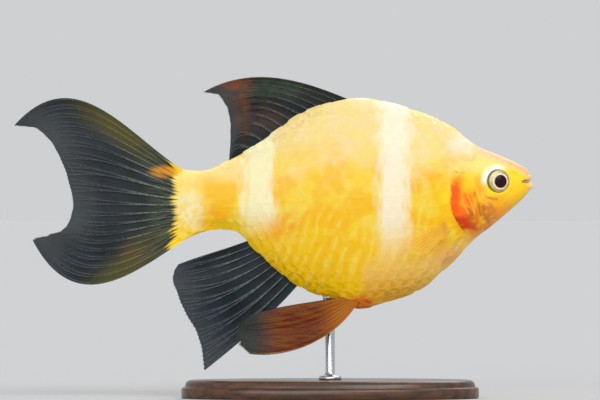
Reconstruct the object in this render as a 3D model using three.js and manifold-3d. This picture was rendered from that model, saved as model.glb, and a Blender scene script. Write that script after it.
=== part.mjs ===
// Golden long-finned tiger barb, life size, held in mid-swim on a plain display stand.
// Millimetres, +Z up. The fish faces +X and shows its right flank to -Y.
// The origin is the middle of the stand's underside.
import * as THREE from "three";
import { mergeVertices } from "three/addons/utils/BufferGeometryUtils.js";
import Module from "manifold-3d";

const wasm = await Module();
wasm.setup();

// Driving dimensions. The fish's own frame has X = 0 where the tail fin starts and Z = 0 on its axis.
const bodyLength = 50; // snout to tail-fin base
const axisHeight = 28; // the fish's axis above the floor
const gap = 0.3; // between neighbouring pieces
const tailEnd = -0.6; // the fleshy end of the tail stalk
const stalkStart = 8.6; // where the anal fin ends and the tail stalk begins
const raySpread = 4; // mesh columns from one fin ray to the next

// Outline of the body: the back, the belly and the half width, each as [x, value]
const backLine = [
  [-0.6, 4.5],
  [3.5, 4.2],
  [6.8, 5.6],
  [10.2, 7.5],
  [13.6, 9.9],
  [16.9, 12.2],
  [20.5, 13.6],
  [25.2, 14.5],
  [29.4, 13.8],
  [33.9, 12.4],
  [37.5, 10.8],
  [40.2, 8.9],
  [42.0, 7.6],
  [45.2, 6.3],
  [47.8, 5.1],
  [49.3, 4.0],
  [bodyLength, 2.7],
];
const bellyLine = [
  [-0.6, -6.4],
  [1.4, -5.3],
  [3.8, -4.4],
  [6.2, -4.1],
  [8.2, -4.6],
  [10.2, -6.7],
  [13.6, -9.8],
  [17.0, -12.3],
  [21.0, -13.9],
  [25.2, -15.3],
  [30.5, -14.0],
  [34.4, -12.3],
  [38.4, -8.8],
  [41.6, -5.5],
  [45.2, -2.6],
  [48.0, -0.2],
  [49.4, 1.3],
  [bodyLength, 2.4],
];
const halfWidth = [
  [-0.6, 0.45],
  [3.5, 1.3],
  [8.2, 2.3],
  [13.6, 3.8],
  [20.0, 5.1],
  [27.0, 5.7],
  [33.0, 5.6],
  [38.4, 4.9],
  [42.0, 4.2],
  [45.2, 3.3],
  [48.0, 2.1],
  [49.4, 1.1],
  [bodyLength, 0.1],
];
const widestLevel = [
  [-0.6, -0.6],
  [12, -0.3],
  [28, 0.6],
  [40, 1.0],
  [bodyLength, 2.5],
];

// Smooth curve y(x) through a few points, and the straight-line blend between two values.
function through(points) {
  const slope = points.map((p, i) => {
    const a = points[Math.max(i - 1, 0)];
    const b = points[Math.min(i + 1, points.length - 1)];
    return (b[1] - a[1]) / (b[0] - a[0]);
  });
  return (x) => {
    let i = 0;
    while (i < points.length - 2 && x > points[i + 1][0]) i++;
    const [x0, y0] = points[i];
    const [x1, y1] = points[i + 1];
    const w = x1 - x0;
    const t = THREE.MathUtils.clamp((x - x0) / w, 0, 1);
    const t2 = t * t;
    const t3 = t2 * t;
    return (
      y0 * (2 * t3 - 3 * t2 + 1) +
      slope[i] * w * (t3 - 2 * t2 + t) +
      y1 * (3 * t2 - 2 * t3) +
      slope[i + 1] * w * (t3 - t2)
    );
  };
}
const lerp = THREE.MathUtils.lerp;
const smooth = THREE.MathUtils.smoothstep;
const back = through(backLine);
const belly = through(bellyLine);
const half = through(halfWidth);
const level = through(widestLevel);

// A closed three.js geometry as a solid, and a solid as a named mesh.
function solid(geometry) {
  const g = geometry.clone();
  g.deleteAttribute("normal");
  g.deleteAttribute("uv");
  const merged = mergeVertices(g, 1e-3);
  return new wasm.Manifold(
    new wasm.Mesh({
      numProp: 3,
      vertProperties: merged.attributes.position.array,
      triVerts: new Uint32Array(merged.index.array),
    }),
  );
}
function largest(shape) {
  return shape.decompose().sort((a, b) => b.volume() - a.volume())[0];
}
function meshOf(name, shape, material) {
  const m = largest(shape).getMesh();
  const geometry = new THREE.BufferGeometry();
  geometry.setAttribute("position", new THREE.BufferAttribute(m.vertProperties, 3));
  geometry.setIndex(new THREE.BufferAttribute(m.triVerts, 1));
  geometry.computeVertexNormals();
  const mesh = new THREE.Mesh(geometry, material);
  mesh.name = name;
  return mesh;
}
function geometryOf(positions, faces) {
  const geometry = new THREE.BufferGeometry();
  geometry.setAttribute("position", new THREE.Float32BufferAttribute(positions, 3));
  geometry.setIndex(faces);
  return geometry;
}

// The flank's half breadth at a level of the section at x.
function flank(x, z) {
  const zw = level(x);
  const reach = z > zw ? back(x) - zw : zw - belly(x);
  const c = THREE.MathUtils.clamp((z - zw) / reach, -1, 1);
  return half(x) * Math.sqrt(1 - c * c);
}

// The whole body as rings round its axis, grown outwards by a distance.
const bodyRings = 44;
const ringPoints = 24;
function bodySolid(grow) {
  const positions = [];
  const faces = [];
  const first = tailEnd - grow;
  const last = bodyLength + grow;
  for (let i = 0; i <= bodyRings; i++) {
    const u = i / bodyRings;
    const x = lerp(tailEnd, bodyLength - 0.02, lerp(u, Math.sin((u * Math.PI) / 2), 0.55));
    for (let j = 0; j < ringPoints; j++) {
      const a = (j / ringPoints) * 2 * Math.PI;
      const reach = Math.cos(a) > 0 ? back(x) - level(x) : level(x) - belly(x);
      const push = i === 0 ? -grow : 0;
      positions.push(
        x + push,
        (half(x) + grow) * Math.sin(a),
        level(x) + (reach + grow) * Math.cos(a),
      );
    }
  }
  const tail = positions.length / 3;
  positions.push(first, 0, level(tailEnd));
  const nose = tail + 1;
  positions.push(last, 0, level(bodyLength));
  const at = (i, j) => i * ringPoints + (j % ringPoints);
  for (let j = 0; j < ringPoints; j++) {
    for (let i = 0; i < bodyRings; i++) {
      faces.push(at(i, j), at(i + 1, j), at(i + 1, j + 1));
      faces.push(at(i, j), at(i + 1, j + 1), at(i, j + 1));
    }
    faces.push(tail, at(0, j), at(0, j + 1));
    faces.push(nose, at(bodyRings, j + 1), at(bodyRings, j));
  }
  return solid(geometryOf(positions, faces));
}

// A plate cut out of the side view: an outline in XZ pushed from y0 to y1.
function sidePlate(points, y0, y1) {
  const shape = new THREE.Shape(points.map(([x, z]) => new THREE.Vector2(x, z)));
  const g = new THREE.ExtrudeGeometry(shape, { depth: y1 - y0, bevelEnabled: false });
  g.rotateX(Math.PI / 2);
  g.translate(0, y1, 0);
  return solid(g);
}
function curveXZ(points, count) {
  const curve = new THREE.CatmullRomCurve3(points.map(([x, z]) => new THREE.Vector3(x, 0, z)));
  return curve.getPoints(count).map((p) => [p.x, p.z]);
}
// The same line moved sideways: to its left as it runs, seen from -Y.
function offset(line, distance) {
  return line.map((p, i) => {
    const a = line[Math.max(i - 1, 0)];
    const b = line[Math.min(i + 1, line.length - 1)];
    const n = Math.hypot(b[0] - a[0], b[1] - a[1]);
    return [p[0] - (distance * (b[1] - a[1])) / n, p[1] + (distance * (b[0] - a[0])) / n];
  });
}

// Materials
const finish = (color, roughness, extra = {}) =>
  new THREE.MeshStandardMaterial({ color, roughness, metalness: 0, ...extra });
const goldSkin = finish(0xf6c62c, 0.4);
const headSkin = finish(0xf3bd2e, 0.4);
const gillPlate = finish(0xf07c1c, 0.35);
const eyeBall = finish(0x2a1a18, 0.1);
const smokyFin = finish(0x232b33, 0.5);
const orangeFin = finish(0xb85a12, 0.5);
const clearFin = finish(0xd9c69a, 0.5);
const darkWood = finish(0x3a2416, 0.55);
const steel = finish(0xb8babd, 0.3, { metalness: 1 });

// Body: one form, parted by thin cuts behind the gill cover and before the tail stalk
const body = bodySolid(0);
const clearance = bodySolid(gap);
const gillLine = curveXZ(
  [
    [41.6, 10.0],
    [40.7, 7.2],
    [39.6, 4.9],
    [38.5, 3.1],
    [38.1, 1.1],
    [38.4, -1.4],
    [39.3, -3.2],
    [40.6, -4.6],
    [43.0, -6.5],
  ],
  24,
);
const wide = 9;
const band = (line) => [...offset(line, gap / 2), ...offset(line, -gap / 2).reverse()];
const stalkLine = curveXZ(
  [
    [stalkStart + 0.4, 9],
    [stalkStart - 0.4, 0],
    [stalkStart, -8],
  ],
  8,
);
const [stalkPiece, trunkPiece, headPiece] = body
  .subtract(sidePlate(band(gillLine), -wide, wide))
  .subtract(sidePlate(band(stalkLine), -wide, wide))
  .decompose()
  .filter((s) => s.volume() > 1)
  .sort((a, b) => a.boundingBox().min[0] - b.boundingBox().min[0]);

// Gill covers: a raised plate on each side, let into the head
const coverRise = 0.22;
const coverDepth = 0.5;
const rearEdge = offset(gillLine, gap / 2).filter(([, z]) => z < 4.8 && z > -4.2);
const preopercle = curveXZ(
  [
    [41.3, -4.3],
    [42.4, -3.3],
    [42.8, -1.7],
    [42.3, 0.4],
    [41.5, 2.6],
    [40.4, 4.5],
  ],
  10,
);
const coverOutline = [...rearEdge, ...preopercle];
function grown(outline, by) {
  const centre = outline.reduce((s, p) => [s[0] + p[0] / outline.length, s[1] + p[1] / outline.length], [0, 0]);
  return outline.map(([x, z]) => {
    const n = Math.hypot(x - centre[0], z - centre[1]);
    return [x + (by * (x - centre[0])) / n, z + (by * (z - centre[1])) / n];
  });
}
const raisedShell = bodySolid(coverRise).subtract(bodySolid(-coverDepth));
const recessShell = bodySolid(coverRise + 1).subtract(bodySolid(-coverDepth - gap));
const sideSpan = { right: [-wide, -0.8], left: [0.8, wide] };

// Eyes: a flattened ball, tilted with the cheek, in a socket with a raised rim
const eyeX = 44.9;
const eyeZ = 2.6;
const eyeRadius = 1.7;
const eyeBulge = 1.25;
const eyeTilt = 0.36;
const eyeSink = 0.62;
function eyeShape(side, extra) {
  const g = new THREE.SphereGeometry(1, 16, 10);
  g.rotateX(Math.PI / 2);
  g.scale(eyeRadius + extra, eyeBulge + extra, eyeRadius + extra);
  g.rotateZ(-side * eyeTilt);
  g.translate(eyeX, side * (flank(eyeX, eyeZ) - eyeSink), eyeZ);
  return solid(g);
}
function eyeRim(side) {
  const g = new THREE.TorusGeometry(eyeRadius + 0.16, 0.26, 5, 18);
  g.rotateX(Math.PI / 2);
  g.rotateZ(-side * eyeTilt);
  g.translate(eyeX, side * (flank(eyeX, eyeZ) - 0.12), eyeZ);
  return solid(g);
}

// Mouth: two lips round the snout, parted by a cleft that droops at its corners
const lipRing = 0.92;
const lipRadius = 0.4;
function lip(z, forward) {
  const g = new THREE.TorusGeometry(lipRing, lipRadius, 6, 16);
  g.scale(1.1, 0.95, 1);
  g.translate(bodyLength - 1.35 + forward, 0, z);
  return solid(g);
}
const mouthCleft = [
  [bodyLength + 2, 2.86],
  [bodyLength - 0.9, 2.62],
  [bodyLength - 1.7, 2.0],
  [bodyLength - 1.55, 1.92],
  [bodyLength - 0.7, 2.34],
  [bodyLength + 2, 2.42],
];
function nostril(side) {
  const x = 47.2;
  const z = 3.9;
  const g = new THREE.SphereGeometry(0.26, 6, 5);
  g.scale(1.2, 1, 0.9);
  g.translate(x, side * (flank(x, z) + 0.02), z);
  return solid(g);
}
let head = headPiece.add(lip(3.2, -0.02)).add(lip(2.0, 0.08));
for (const side of [-1, 1]) {
  const [y0, y1] = side < 0 ? sideSpan.right : sideSpan.left;
  head = head
    .add(eyeRim(side))
    .subtract(eyeShape(side, gap))
    .subtract(nostril(side))
    .subtract(recessShell.intersect(sidePlate(grown(coverOutline, gap), y0, y1)));
}
head = head.subtract(sidePlate(mouthCleft, -wide, wide));

// Fins: four rows of points from root to margin, each a smooth curve from the leading to the last ray
function finSurface(rows) {
  const curves = rows.map(
    (row) => new THREE.CatmullRomCurve3(row.map(([x, z]) => new THREE.Vector3(x, 0, z))),
  );
  return (s, t) => {
    const [a, b, c, d] = curves.map((curve) => curve.getPoint(THREE.MathUtils.clamp(s, 0, 1)));
    return new THREE.CubicBezierCurve3(a, b, c, d).getPoint(t);
  };
}
// Half thickness at column j and height t: each ray is a ridge in the web, single near the root and forked beyond.
const webAtRoot = 0.27;
const webAtTip = 0.2;
const rayAtRoot = 0.17;
const rayAtTip = 0.05;
const forkStart = 0.45;
const forkEnd = 0.62;
const singleRay = [1, 0.3, 0, 0.3];
const forkedRay = [0.3, 1, 0, 1];
function finThickness(j, t) {
  const phase = j % raySpread;
  const crest = lerp(singleRay[phase], forkedRay[phase], smooth(t, forkStart, forkEnd));
  return lerp(webAtRoot, webAtTip, t) + lerp(rayAtRoot, rayAtTip, t) * crest;
}
// A fin is closed over both faces, with its triangles alike on each, from column first to column last.
function finSolid(fin, first, last, shift = 0) {
  const place = finSurface(fin.rows);
  const columns = fin.rays * raySpread;
  const positions = [];
  const faces = [];
  const count = last - first + 1;
  for (const side of [-1, 1]) {
    for (let i = 0; i <= fin.steps; i++) {
      for (let j = first; j <= last; j++) {
        const s = j / columns;
        const t = i / fin.steps;
        const scallop = fin.scallop * Math.sin((Math.PI * j) / raySpread) ** 2;
        const p = place(s, t * (1 - scallop * t));
        const nudge = j === first ? shift : 0;
        positions.push(p.x, fin.sway(s, t, p) + side * finThickness(j, t), p.z + nudge);
      }
    }
  }
  const at = (face, i, j) => (face * (fin.steps + 1) + i) * count + j;
  const quad = (a, b, c, d) => faces.push(a, b, c, a, c, d);
  for (let i = 0; i < fin.steps; i++) {
    for (let j = 0; j < count - 1; j++) {
      quad(at(0, i, j), at(0, i, j + 1), at(0, i + 1, j + 1), at(0, i + 1, j));
      faces.push(at(1, i, j), at(1, i + 1, j + 1), at(1, i, j + 1));
      faces.push(at(1, i, j), at(1, i + 1, j), at(1, i + 1, j + 1));
    }
    quad(at(0, i, 0), at(0, i + 1, 0), at(1, i + 1, 0), at(1, i, 0));
    quad(at(0, i + 1, count - 1), at(0, i, count - 1), at(1, i, count - 1), at(1, i + 1, count - 1));
  }
  for (let j = 0; j < count - 1; j++) {
    quad(at(0, 0, j + 1), at(0, 0, j), at(1, 0, j), at(1, 0, j + 1));
    quad(at(0, fin.steps, j), at(0, fin.steps, j + 1), at(1, fin.steps, j + 1), at(1, fin.steps, j));
  }
  const made = solid(geometryOf(positions, faces));
  return made.volume() < 0 ? solid(geometryOf(positions, flipped(faces))) : made;
}
function flipped(faces) {
  const turned = [];
  for (let i = 0; i < faces.length; i += 3) turned.push(faces[i], faces[i + 2], faces[i + 1]);
  return turned;
}
const rooted = (fin, first = 0, last = fin.rays * raySpread, shift = 0) =>
  finSolid(fin, first, last, shift).subtract(clearance);

const caudal = {
  rays: 18,
  steps: 7,
  scallop: 0.012,
  rows: [
    [
      [-0.4, 4.3],
      [0.1, 2.0],
      [0.3, -0.8],
      [0.4, -3.7],
      [0.5, -6.1],
    ],
    [
      [-7.2, 8.9],
      [-6.6, 6.9],
      [-6.1, 4.0],
      [-5.6, -0.7],
      [-5.8, -3.7],
      [-5.8, -6.6],
      [-5.6, -9.6],
    ],
    [
      [-14.8, 20.5],
      [-13.4, 13.0],
      [-11.6, 6.8],
      [-10.6, -0.4],
      [-11.3, -6.1],
      [-12.7, -11.6],
      [-14.7, -17.8],
    ],
    [
      [-23.6, 10.4],
      [-20.1, 9.9],
      [-17.2, 6.4],
      [-15.2, 0.0],
      [-16.1, -3.7],
      [-18.4, -4.8],
      [-20.9, -5.4],
    ],
  ],
  sway: (s, t) => t * t * (1.5 * Math.cos(Math.PI * s) + 0.35 * Math.sin(5 * Math.PI * s) * t),
};
const dorsal = {
  rays: 11,
  steps: 6,
  scallop: 0.02,
  rows: [
    [
      [24.3, 14.0],
      [20.6, 12.9],
      [16.7, 11.4],
      [13.0, 8.9],
      [8.6, 5.9],
    ],
    [
      [18.6, 16.4],
      [16.4, 15.2],
      [13.4, 13.4],
      [10.8, 10.8],
      [8.1, 6.9],
    ],
    [
      [10.6, 19.6],
      [11.0, 16.9],
      [10.4, 14.6],
      [9.0, 11.3],
      [7.4, 7.1],
    ],
    [
      [3.1, 15.1],
      [5.4, 14.7],
      [6.8, 12.3],
      [7.1, 9.2],
      [6.8, 6.2],
    ],
  ],
  sway: (s, t) => -0.9 * t * t * (1 - s) + 0.25 * t * Math.sin(4 * Math.PI * s),
};
const anal = {
  rays: 9,
  steps: 7,
  scallop: 0.02,
  rows: [
    [
      [17.0, -11.6],
      [14.9, -10.1],
      [13.2, -8.6],
      [11.5, -7.1],
      [9.9, -5.6],
    ],
    [
      [13.6, -15.6],
      [11.3, -13.6],
      [9.2, -11.2],
      [7.8, -9.0],
      [6.9, -6.8],
    ],
    [
      [9.4, -19.4],
      [7.4, -17.0],
      [5.4, -13.6],
      [3.4, -10.6],
      [2.7, -7.9],
    ],
    [
      [3.3, -24.2],
      [2.7, -19.8],
      [0.6, -15.7],
      [-1.0, -11.7],
      [-0.8, -9.2],
    ],
  ],
  sway: (s, t) => 0.8 * t * t * (1 - s) + 0.25 * t * Math.sin(3 * Math.PI * s),
};
const pelvicSpread = 2.1;
const pelvic = (side) => ({
  rays: 8,
  steps: 6,
  scallop: 0.02,
  rows: [
    [
      [25.4, -13.9],
      [24.6, -13.7],
      [23.9, -13.5],
    ],
    [
      [22.6, -19.4],
      [21.4, -17.1],
      [19.6, -14.4],
    ],
    [
      [15.4, -22.6],
      [15.2, -19.0],
      [15.2, -14.7],
    ],
    [
      [9.5, -21.6],
      [8.0, -19.8],
      [7.9, -17.9],
      [9.8, -16.2],
    ],
  ],
  sway: (s, t) => side * (1.9 + pelvicSpread * t * (1 - 0.3 * s) + 0.2 * Math.sin(3 * Math.PI * s) * t),
});
const pectoralSpread = 1.9;
const pectoral = (side) => ({
  rays: 9,
  steps: 4,
  scallop: 0.02,
  rows: [
    [
      [38.5, -2.6],
      [38.5, -3.3],
      [38.6, -4.0],
    ],
    [
      [36.4, -3.2],
      [36.5, -4.3],
      [36.9, -5.3],
    ],
    [
      [34.2, -3.9],
      [34.2, -5.6],
      [35.4, -6.9],
    ],
    [
      [31.6, -5.0],
      [31.7, -6.9],
      [34.2, -7.9],
    ],
  ],
  sway: (s, t) => side * (flank(38.5, -3.3) - 0.6 + 1.5 * smooth(t, 0, 0.35) + pectoralSpread * t),
});

const group = new THREE.Group();
const stance = new THREE.Group();
group.add(stance);

const middle = (caudal.rays * raySpread) / 2;
stance.add(meshOf("head", head, headSkin));
stance.add(meshOf("trunk", trunkPiece, goldSkin));
stance.add(meshOf("tail_stalk", stalkPiece, goldSkin));
stance.add(meshOf("caudal_fin_upper", rooted(caudal, 0, middle), smokyFin));
stance.add(
  meshOf("caudal_fin_lower", rooted(caudal, middle, middle * 2, -gap), smokyFin),
);
stance.add(meshOf("dorsal_fin", rooted(dorsal), smokyFin));
stance.add(meshOf("anal_fin", rooted(anal), smokyFin));
for (const [name, side] of [
  ["right", -1],
  ["left", 1],
]) {
  const [y0, y1] = sideSpan[name];
  const cover = raisedShell.intersect(sidePlate(coverOutline, y0, y1));
  stance.add(meshOf("gill_cover_" + name, cover, gillPlate));
  stance.add(meshOf("eye_" + name, eyeShape(side, 0), eyeBall));
  stance.add(meshOf("pelvic_fin_" + name, rooted(pelvic(side)), orangeFin));
  stance.add(meshOf("pectoral_fin_" + name, rooted(pectoral(side)), clearFin));
}

// Stand: an oval base and one rod that meets the belly behind the pelvic fins
const baseLength = 42;
const baseWidth = 22;
const baseHeight = 2.6;
const baseBevel = 0.5;
const rodX = 21.2;
const rodRadius = 0.7;
stance.position.set(-rodX, 0, axisHeight);

const oval = new THREE.Shape();
oval.absellipse(0, 0, baseLength / 2 - baseBevel, baseWidth / 2 - baseBevel, 0, 2 * Math.PI);
const baseGeometry = new THREE.ExtrudeGeometry(oval, {
  depth: baseHeight - baseBevel,
  bevelEnabled: true,
  bevelThickness: baseBevel,
  bevelSize: baseBevel,
  bevelSegments: 2,
  curveSegments: 24,
});
const floorCut = new THREE.BoxGeometry(2 * baseLength, 2 * baseLength, 2 * baseHeight);
floorCut.translate(0, 0, -baseHeight);
group.add(meshOf("stand_base", solid(baseGeometry).subtract(solid(floorCut)), darkWood));

const rodGeometry = new THREE.CylinderGeometry(rodRadius, rodRadius, axisHeight, 20);
rodGeometry.rotateX(Math.PI / 2);
rodGeometry.translate(rodX, 0, baseHeight + gap - axisHeight / 2);
const rod = solid(rodGeometry).subtract(clearance);
const rodMesh = meshOf("stand_rod", rod, steel);
stance.add(rodMesh);

export default group;
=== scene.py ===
import math

import bmesh
import bpy
import numpy as np
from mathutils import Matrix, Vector


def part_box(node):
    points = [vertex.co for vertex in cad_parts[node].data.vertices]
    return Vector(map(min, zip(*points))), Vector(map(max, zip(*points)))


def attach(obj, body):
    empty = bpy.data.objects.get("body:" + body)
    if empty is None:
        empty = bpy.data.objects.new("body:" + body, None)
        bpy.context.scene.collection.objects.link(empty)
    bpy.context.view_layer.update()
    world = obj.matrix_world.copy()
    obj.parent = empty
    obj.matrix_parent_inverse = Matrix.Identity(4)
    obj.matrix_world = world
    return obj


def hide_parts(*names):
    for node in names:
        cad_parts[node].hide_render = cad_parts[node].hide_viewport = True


# %% [markdown]
# # A golden long-finned tiger barb on a display stand
# A museum model of a small aquarium fish has few parts but many surfaces: a moist golden skin, a coat of
# thin scales, glassy eyes and fins as thin as paper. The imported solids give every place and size. This
# script dresses them: it loads the frame, keeps its box, and builds each piece where its solid stands.

# %% Load the frame
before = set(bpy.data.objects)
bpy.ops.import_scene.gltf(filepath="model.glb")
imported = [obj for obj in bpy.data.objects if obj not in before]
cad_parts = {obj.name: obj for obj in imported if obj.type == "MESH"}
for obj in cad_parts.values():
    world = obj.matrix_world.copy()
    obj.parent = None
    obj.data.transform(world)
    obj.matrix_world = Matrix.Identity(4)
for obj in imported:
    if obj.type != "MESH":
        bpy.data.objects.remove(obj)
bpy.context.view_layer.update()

# %% [markdown]
# ## Where the fish hangs
# The fish was measured from its own point: X = 0 at the base of the tail fin, Z = 0 on the axis of the
# body, in millimetres. The rod stands under the belly, and its solid tells where that point is in the
# shared frame, so no place has to be typed twice. `in_frame` turns millimetres on the fish into metres.

# %% From the fish's millimetres to the frame's metres
MM = 0.001
ROD_X = 21.2  # the rod meets the belly here, measured on the fish
AXIS_HEIGHT = 28.0  # the fish's axis above the floor
rod_low, rod_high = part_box("stand_rod")
FISH_ORIGIN = np.array([(rod_low.x + rod_high.x) / 2 - ROD_X * MM, 0.0, AXIS_HEIGHT * MM])


def in_frame(points):
    return np.asarray(points, float) * MM + FISH_ORIGIN


print("fish origin in the frame:", FISH_ORIGIN.round(4))

# %% [markdown]
# ## Camera
# The photo looks straight at the fish's right flank, and its sides show no perspective, so the lens is a
# long one. The photo's frame is 600 pixels wide at 0.1412 mm a pixel, and the distance follows from that.

# %% Camera at the photo's angle
FRAME_WIDTH = 84.72  # millimetres of the fish's plane across the photo
FRAME_CENTRE = (-4.26, 28.0)  # X and Z in the shared frame, in millimetres
LENS = 400.0  # millimetres, like the sensor
SENSOR = 36.0


def put(name, data):
    """A new object in the scene."""
    thing = bpy.data.objects.new(name, data)
    bpy.context.scene.collection.objects.link(thing)
    return thing


camera_data = bpy.data.cameras.new("camera")
camera_data.lens = LENS
camera_data.sensor_width = SENSOR
camera_data.clip_start = 0.01
camera = put("camera", camera_data)
camera.location = (FRAME_CENTRE[0] * MM, -FRAME_WIDTH * MM * LENS / SENSOR, FRAME_CENTRE[1] * MM)
camera.rotation_euler = (math.pi / 2, 0, 0)
bpy.context.scene.camera = camera
print("camera distance:", round(-camera.location.y, 4), "m")

# %% [markdown]
# ## Light
# The photo's light is soft and comes from the camera's side, so the flank is bright all over and the back
# shines. Small lamps near the fish would light the floor unevenly, so each soft panel is a sun with a wide
# disc: its light is the same everywhere. The picture is shown by the Standard transform, which doesn't
# grey a saturated yellow.

# %% Wide soft suns and a pale world
bpy.context.scene.view_settings.view_transform = "Standard"
WORLD_GREY = (0.62, 0.63, 0.64, 1)
world = bpy.data.worlds.new("studio")
world.use_nodes = True
world.node_tree.nodes["Background"].inputs["Color"].default_value = WORLD_GREY
bpy.context.scene.world = world


def soft_sun(name, azimuth, elevation, strength, disc):
    """A sun seen from the fish at this azimuth (0 is the camera's side) and elevation, in degrees.

    It returns how strongly the sun lights a level floor.
    """
    light = bpy.data.lights.new(name, "SUN")
    light.energy = strength
    light.angle = math.radians(disc)
    a, e = math.radians(azimuth), math.radians(elevation)
    towards = Vector((math.sin(a) * math.cos(e), -math.cos(a) * math.cos(e), math.sin(e)))
    put(name, light).rotation_euler = towards.to_track_quat("Z", "Y").to_euler()
    return strength * math.sin(e)


light_on_floor = soft_sun("key_light", azimuth=24, elevation=36, strength=1.12, disc=34)
light_on_floor += soft_sun("front_light", azimuth=-18, elevation=5, strength=1.42, disc=50)
light_on_floor += soft_sun("back_light", azimuth=165, elevation=52, strength=1.0, disc=40)
print("lights:", len(bpy.data.lights), "on the floor:", round(light_on_floor, 2))

# %% [markdown]
# ## The body's outline
# A fish is lofted like a boat: a back line, a belly line and a half width along its length, with an oval
# section between them. The three curves are the same few points that shaped the solids. A smooth curve
# runs through them and is then softened a little, because a glossy skin shows every corner.

# %% Back, belly and width along the body
BODY_LENGTH = 50.0  # from the snout to the base of the tail fin
BACK_LINE = [
    (-0.6, 4.5), (3.5, 4.2), (6.8, 5.6), (10.2, 7.5), (13.6, 9.9), (16.9, 12.2), (20.5, 13.6), (25.2, 14.5),
    (29.4, 13.8), (33.9, 12.4), (37.5, 10.8), (40.2, 8.9), (42.0, 7.6), (45.2, 6.3), (47.8, 5.1), (49.3, 4.0),
    (BODY_LENGTH, 2.7),
]
BELLY_LINE = [
    (-0.6, -6.4), (1.4, -5.3), (3.8, -4.4), (6.2, -4.1), (8.2, -4.6), (10.2, -6.7), (13.6, -9.8),
    (17.0, -12.3), (21.0, -13.9), (25.2, -15.3), (30.5, -14.0), (34.4, -12.3), (38.4, -8.8), (41.6, -5.5),
    (45.2, -2.6), (48.0, -0.2), (49.4, 1.3), (BODY_LENGTH, 2.4),
]
HALF_WIDTH = [
    (-0.6, 0.45), (3.5, 1.3), (8.2, 2.3), (13.6, 3.8), (20.0, 5.1), (27.0, 5.7), (33.0, 5.6), (38.4, 4.9),
    (42.0, 4.2), (45.2, 3.3), (48.0, 2.1), (49.4, 1.1), (BODY_LENGTH, 0.1),
]
WIDEST_LEVEL = [(-0.6, -0.6), (12.0, -0.3), (28.0, 0.6), (40.0, 1.0), (BODY_LENGTH, 2.5)]
SOFTENING = 0.45  # millimetres over which a corner of the outline is rounded
CURVE_SAMPLES = 2400


def through(points, soften=SOFTENING):
    """A smooth curve y(x) through a few points."""
    xs, ys = np.array(points, float).T
    slope = np.empty_like(ys)
    slope[1:-1] = (ys[2:] - ys[:-2]) / (xs[2:] - xs[:-2])
    slope[0] = (ys[1] - ys[0]) / (xs[1] - xs[0])
    slope[-1] = (ys[-1] - ys[-2]) / (xs[-1] - xs[-2])
    fine = np.linspace(xs[0], xs[-1], CURVE_SAMPLES)
    i = np.clip(np.searchsorted(xs, fine, side="right") - 1, 0, len(xs) - 2)
    w = xs[i + 1] - xs[i]
    t = (fine - xs[i]) / w
    value = (
        ys[i] * (2 * t**3 - 3 * t**2 + 1)
        + slope[i] * w * (t**3 - 2 * t**2 + t)
        + ys[i + 1] * (3 * t**2 - 2 * t**3)
        + slope[i + 1] * w * (t**3 - t**2)
    )
    step = fine[1] - fine[0]
    reach = int(3 * soften / step)
    kernel = np.exp(-0.5 * (np.arange(-reach, reach + 1) * step / soften) ** 2)
    kernel /= kernel.sum()
    before = 2 * value[0] - value[reach:0:-1]
    after = 2 * value[-1] - value[-2:-reach - 2:-1]
    value = np.convolve(np.concatenate([before, value, after]), kernel, mode="valid")
    return lambda x: np.interp(x, fine, value)


back = through(BACK_LINE)
belly = through(BELLY_LINE)
half = through(HALF_WIDTH)
level = through(WIDEST_LEVEL)
depths = back(np.arange(BODY_LENGTH)) - belly(np.arange(BODY_LENGTH))
print("deepest section:", round(float(depths.max()), 1), "mm")

# %% [markdown]
# ## The skin as one loft
# Head, trunk, tail stalk and gill covers are separate solids, but on the fish one skin runs over them all.
# It is a grid: rings round the body, and lines that run from the tail to the mouth. The rings lie closer
# on the head, where the gill cover, the eye socket and the lips need them. Voxels could fuse the same
# shape from lumps, but a grid keeps its points where the relief is.

# %% The grid's angles and stations
RING_POINTS = 208
TAIL_TIP = -1.6  # the flesh thins to a wedge inside the tail fin's root
LAST_RING = 49.42  # the lips start here
TRUNK_STEP = 0.23
HEAD_STEP = 0.085
HEAD_START = 36.2
SECTION_ASPECT = 2.3  # a section is about this much taller than wide


def even_angles(count):
    """Angles that walk an oval section in equal steps, from the back down the right flank and round."""
    dense = np.linspace(0, 2 * np.pi, 4001)
    pace = np.hypot(np.cos(dense), SECTION_ASPECT * np.sin(dense))
    walked = np.concatenate([[0], np.cumsum((pace[1:] + pace[:-1]) / 2)])
    return np.interp(np.arange(count) / count * walked[-1], walked, dense)


angles = even_angles(RING_POINTS)
trunk_stations = np.arange(TAIL_TIP, HEAD_START, TRUNK_STEP)
head_stations = np.arange(HEAD_START, LAST_RING, HEAD_STEP)
stations = np.concatenate([trunk_stations, head_stations])
print("rings:", len(stations), "points in each:", RING_POINTS)

# %% [markdown]
# A section is an oval with its widest level at the fish's axis. Behind the last vertebra the width tapers
# to the thickness of the tail fin's root, so the flesh runs into the fin. Towards the snout the rings lean
# back at the sides, because the corners of the mouth lie behind its tip.

# %% Points on the body
WEDGE_START = 1.6
WEDGE_HALF = 0.15
LEAN_START = 45.0
MOUTH_LEAN = 1.0


def smoothstep(low, high, value):
    t = np.clip((value - low) / (high - low), 0, 1)
    return t * t * (3 - 2 * t)


def body_point(x, a):
    """The flank's point at station x and angle a, in the fish's millimetres."""
    reach = np.where(np.cos(a) > 0, back(x) - level(x), level(x) - belly(x))
    taper = smoothstep(TAIL_TIP, WEDGE_START, x)
    width = half(x) * taper + WEDGE_HALF * (1 - taper)
    return np.stack([x, -width * np.sin(a), level(x) + reach * np.cos(a)], -1)


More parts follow.
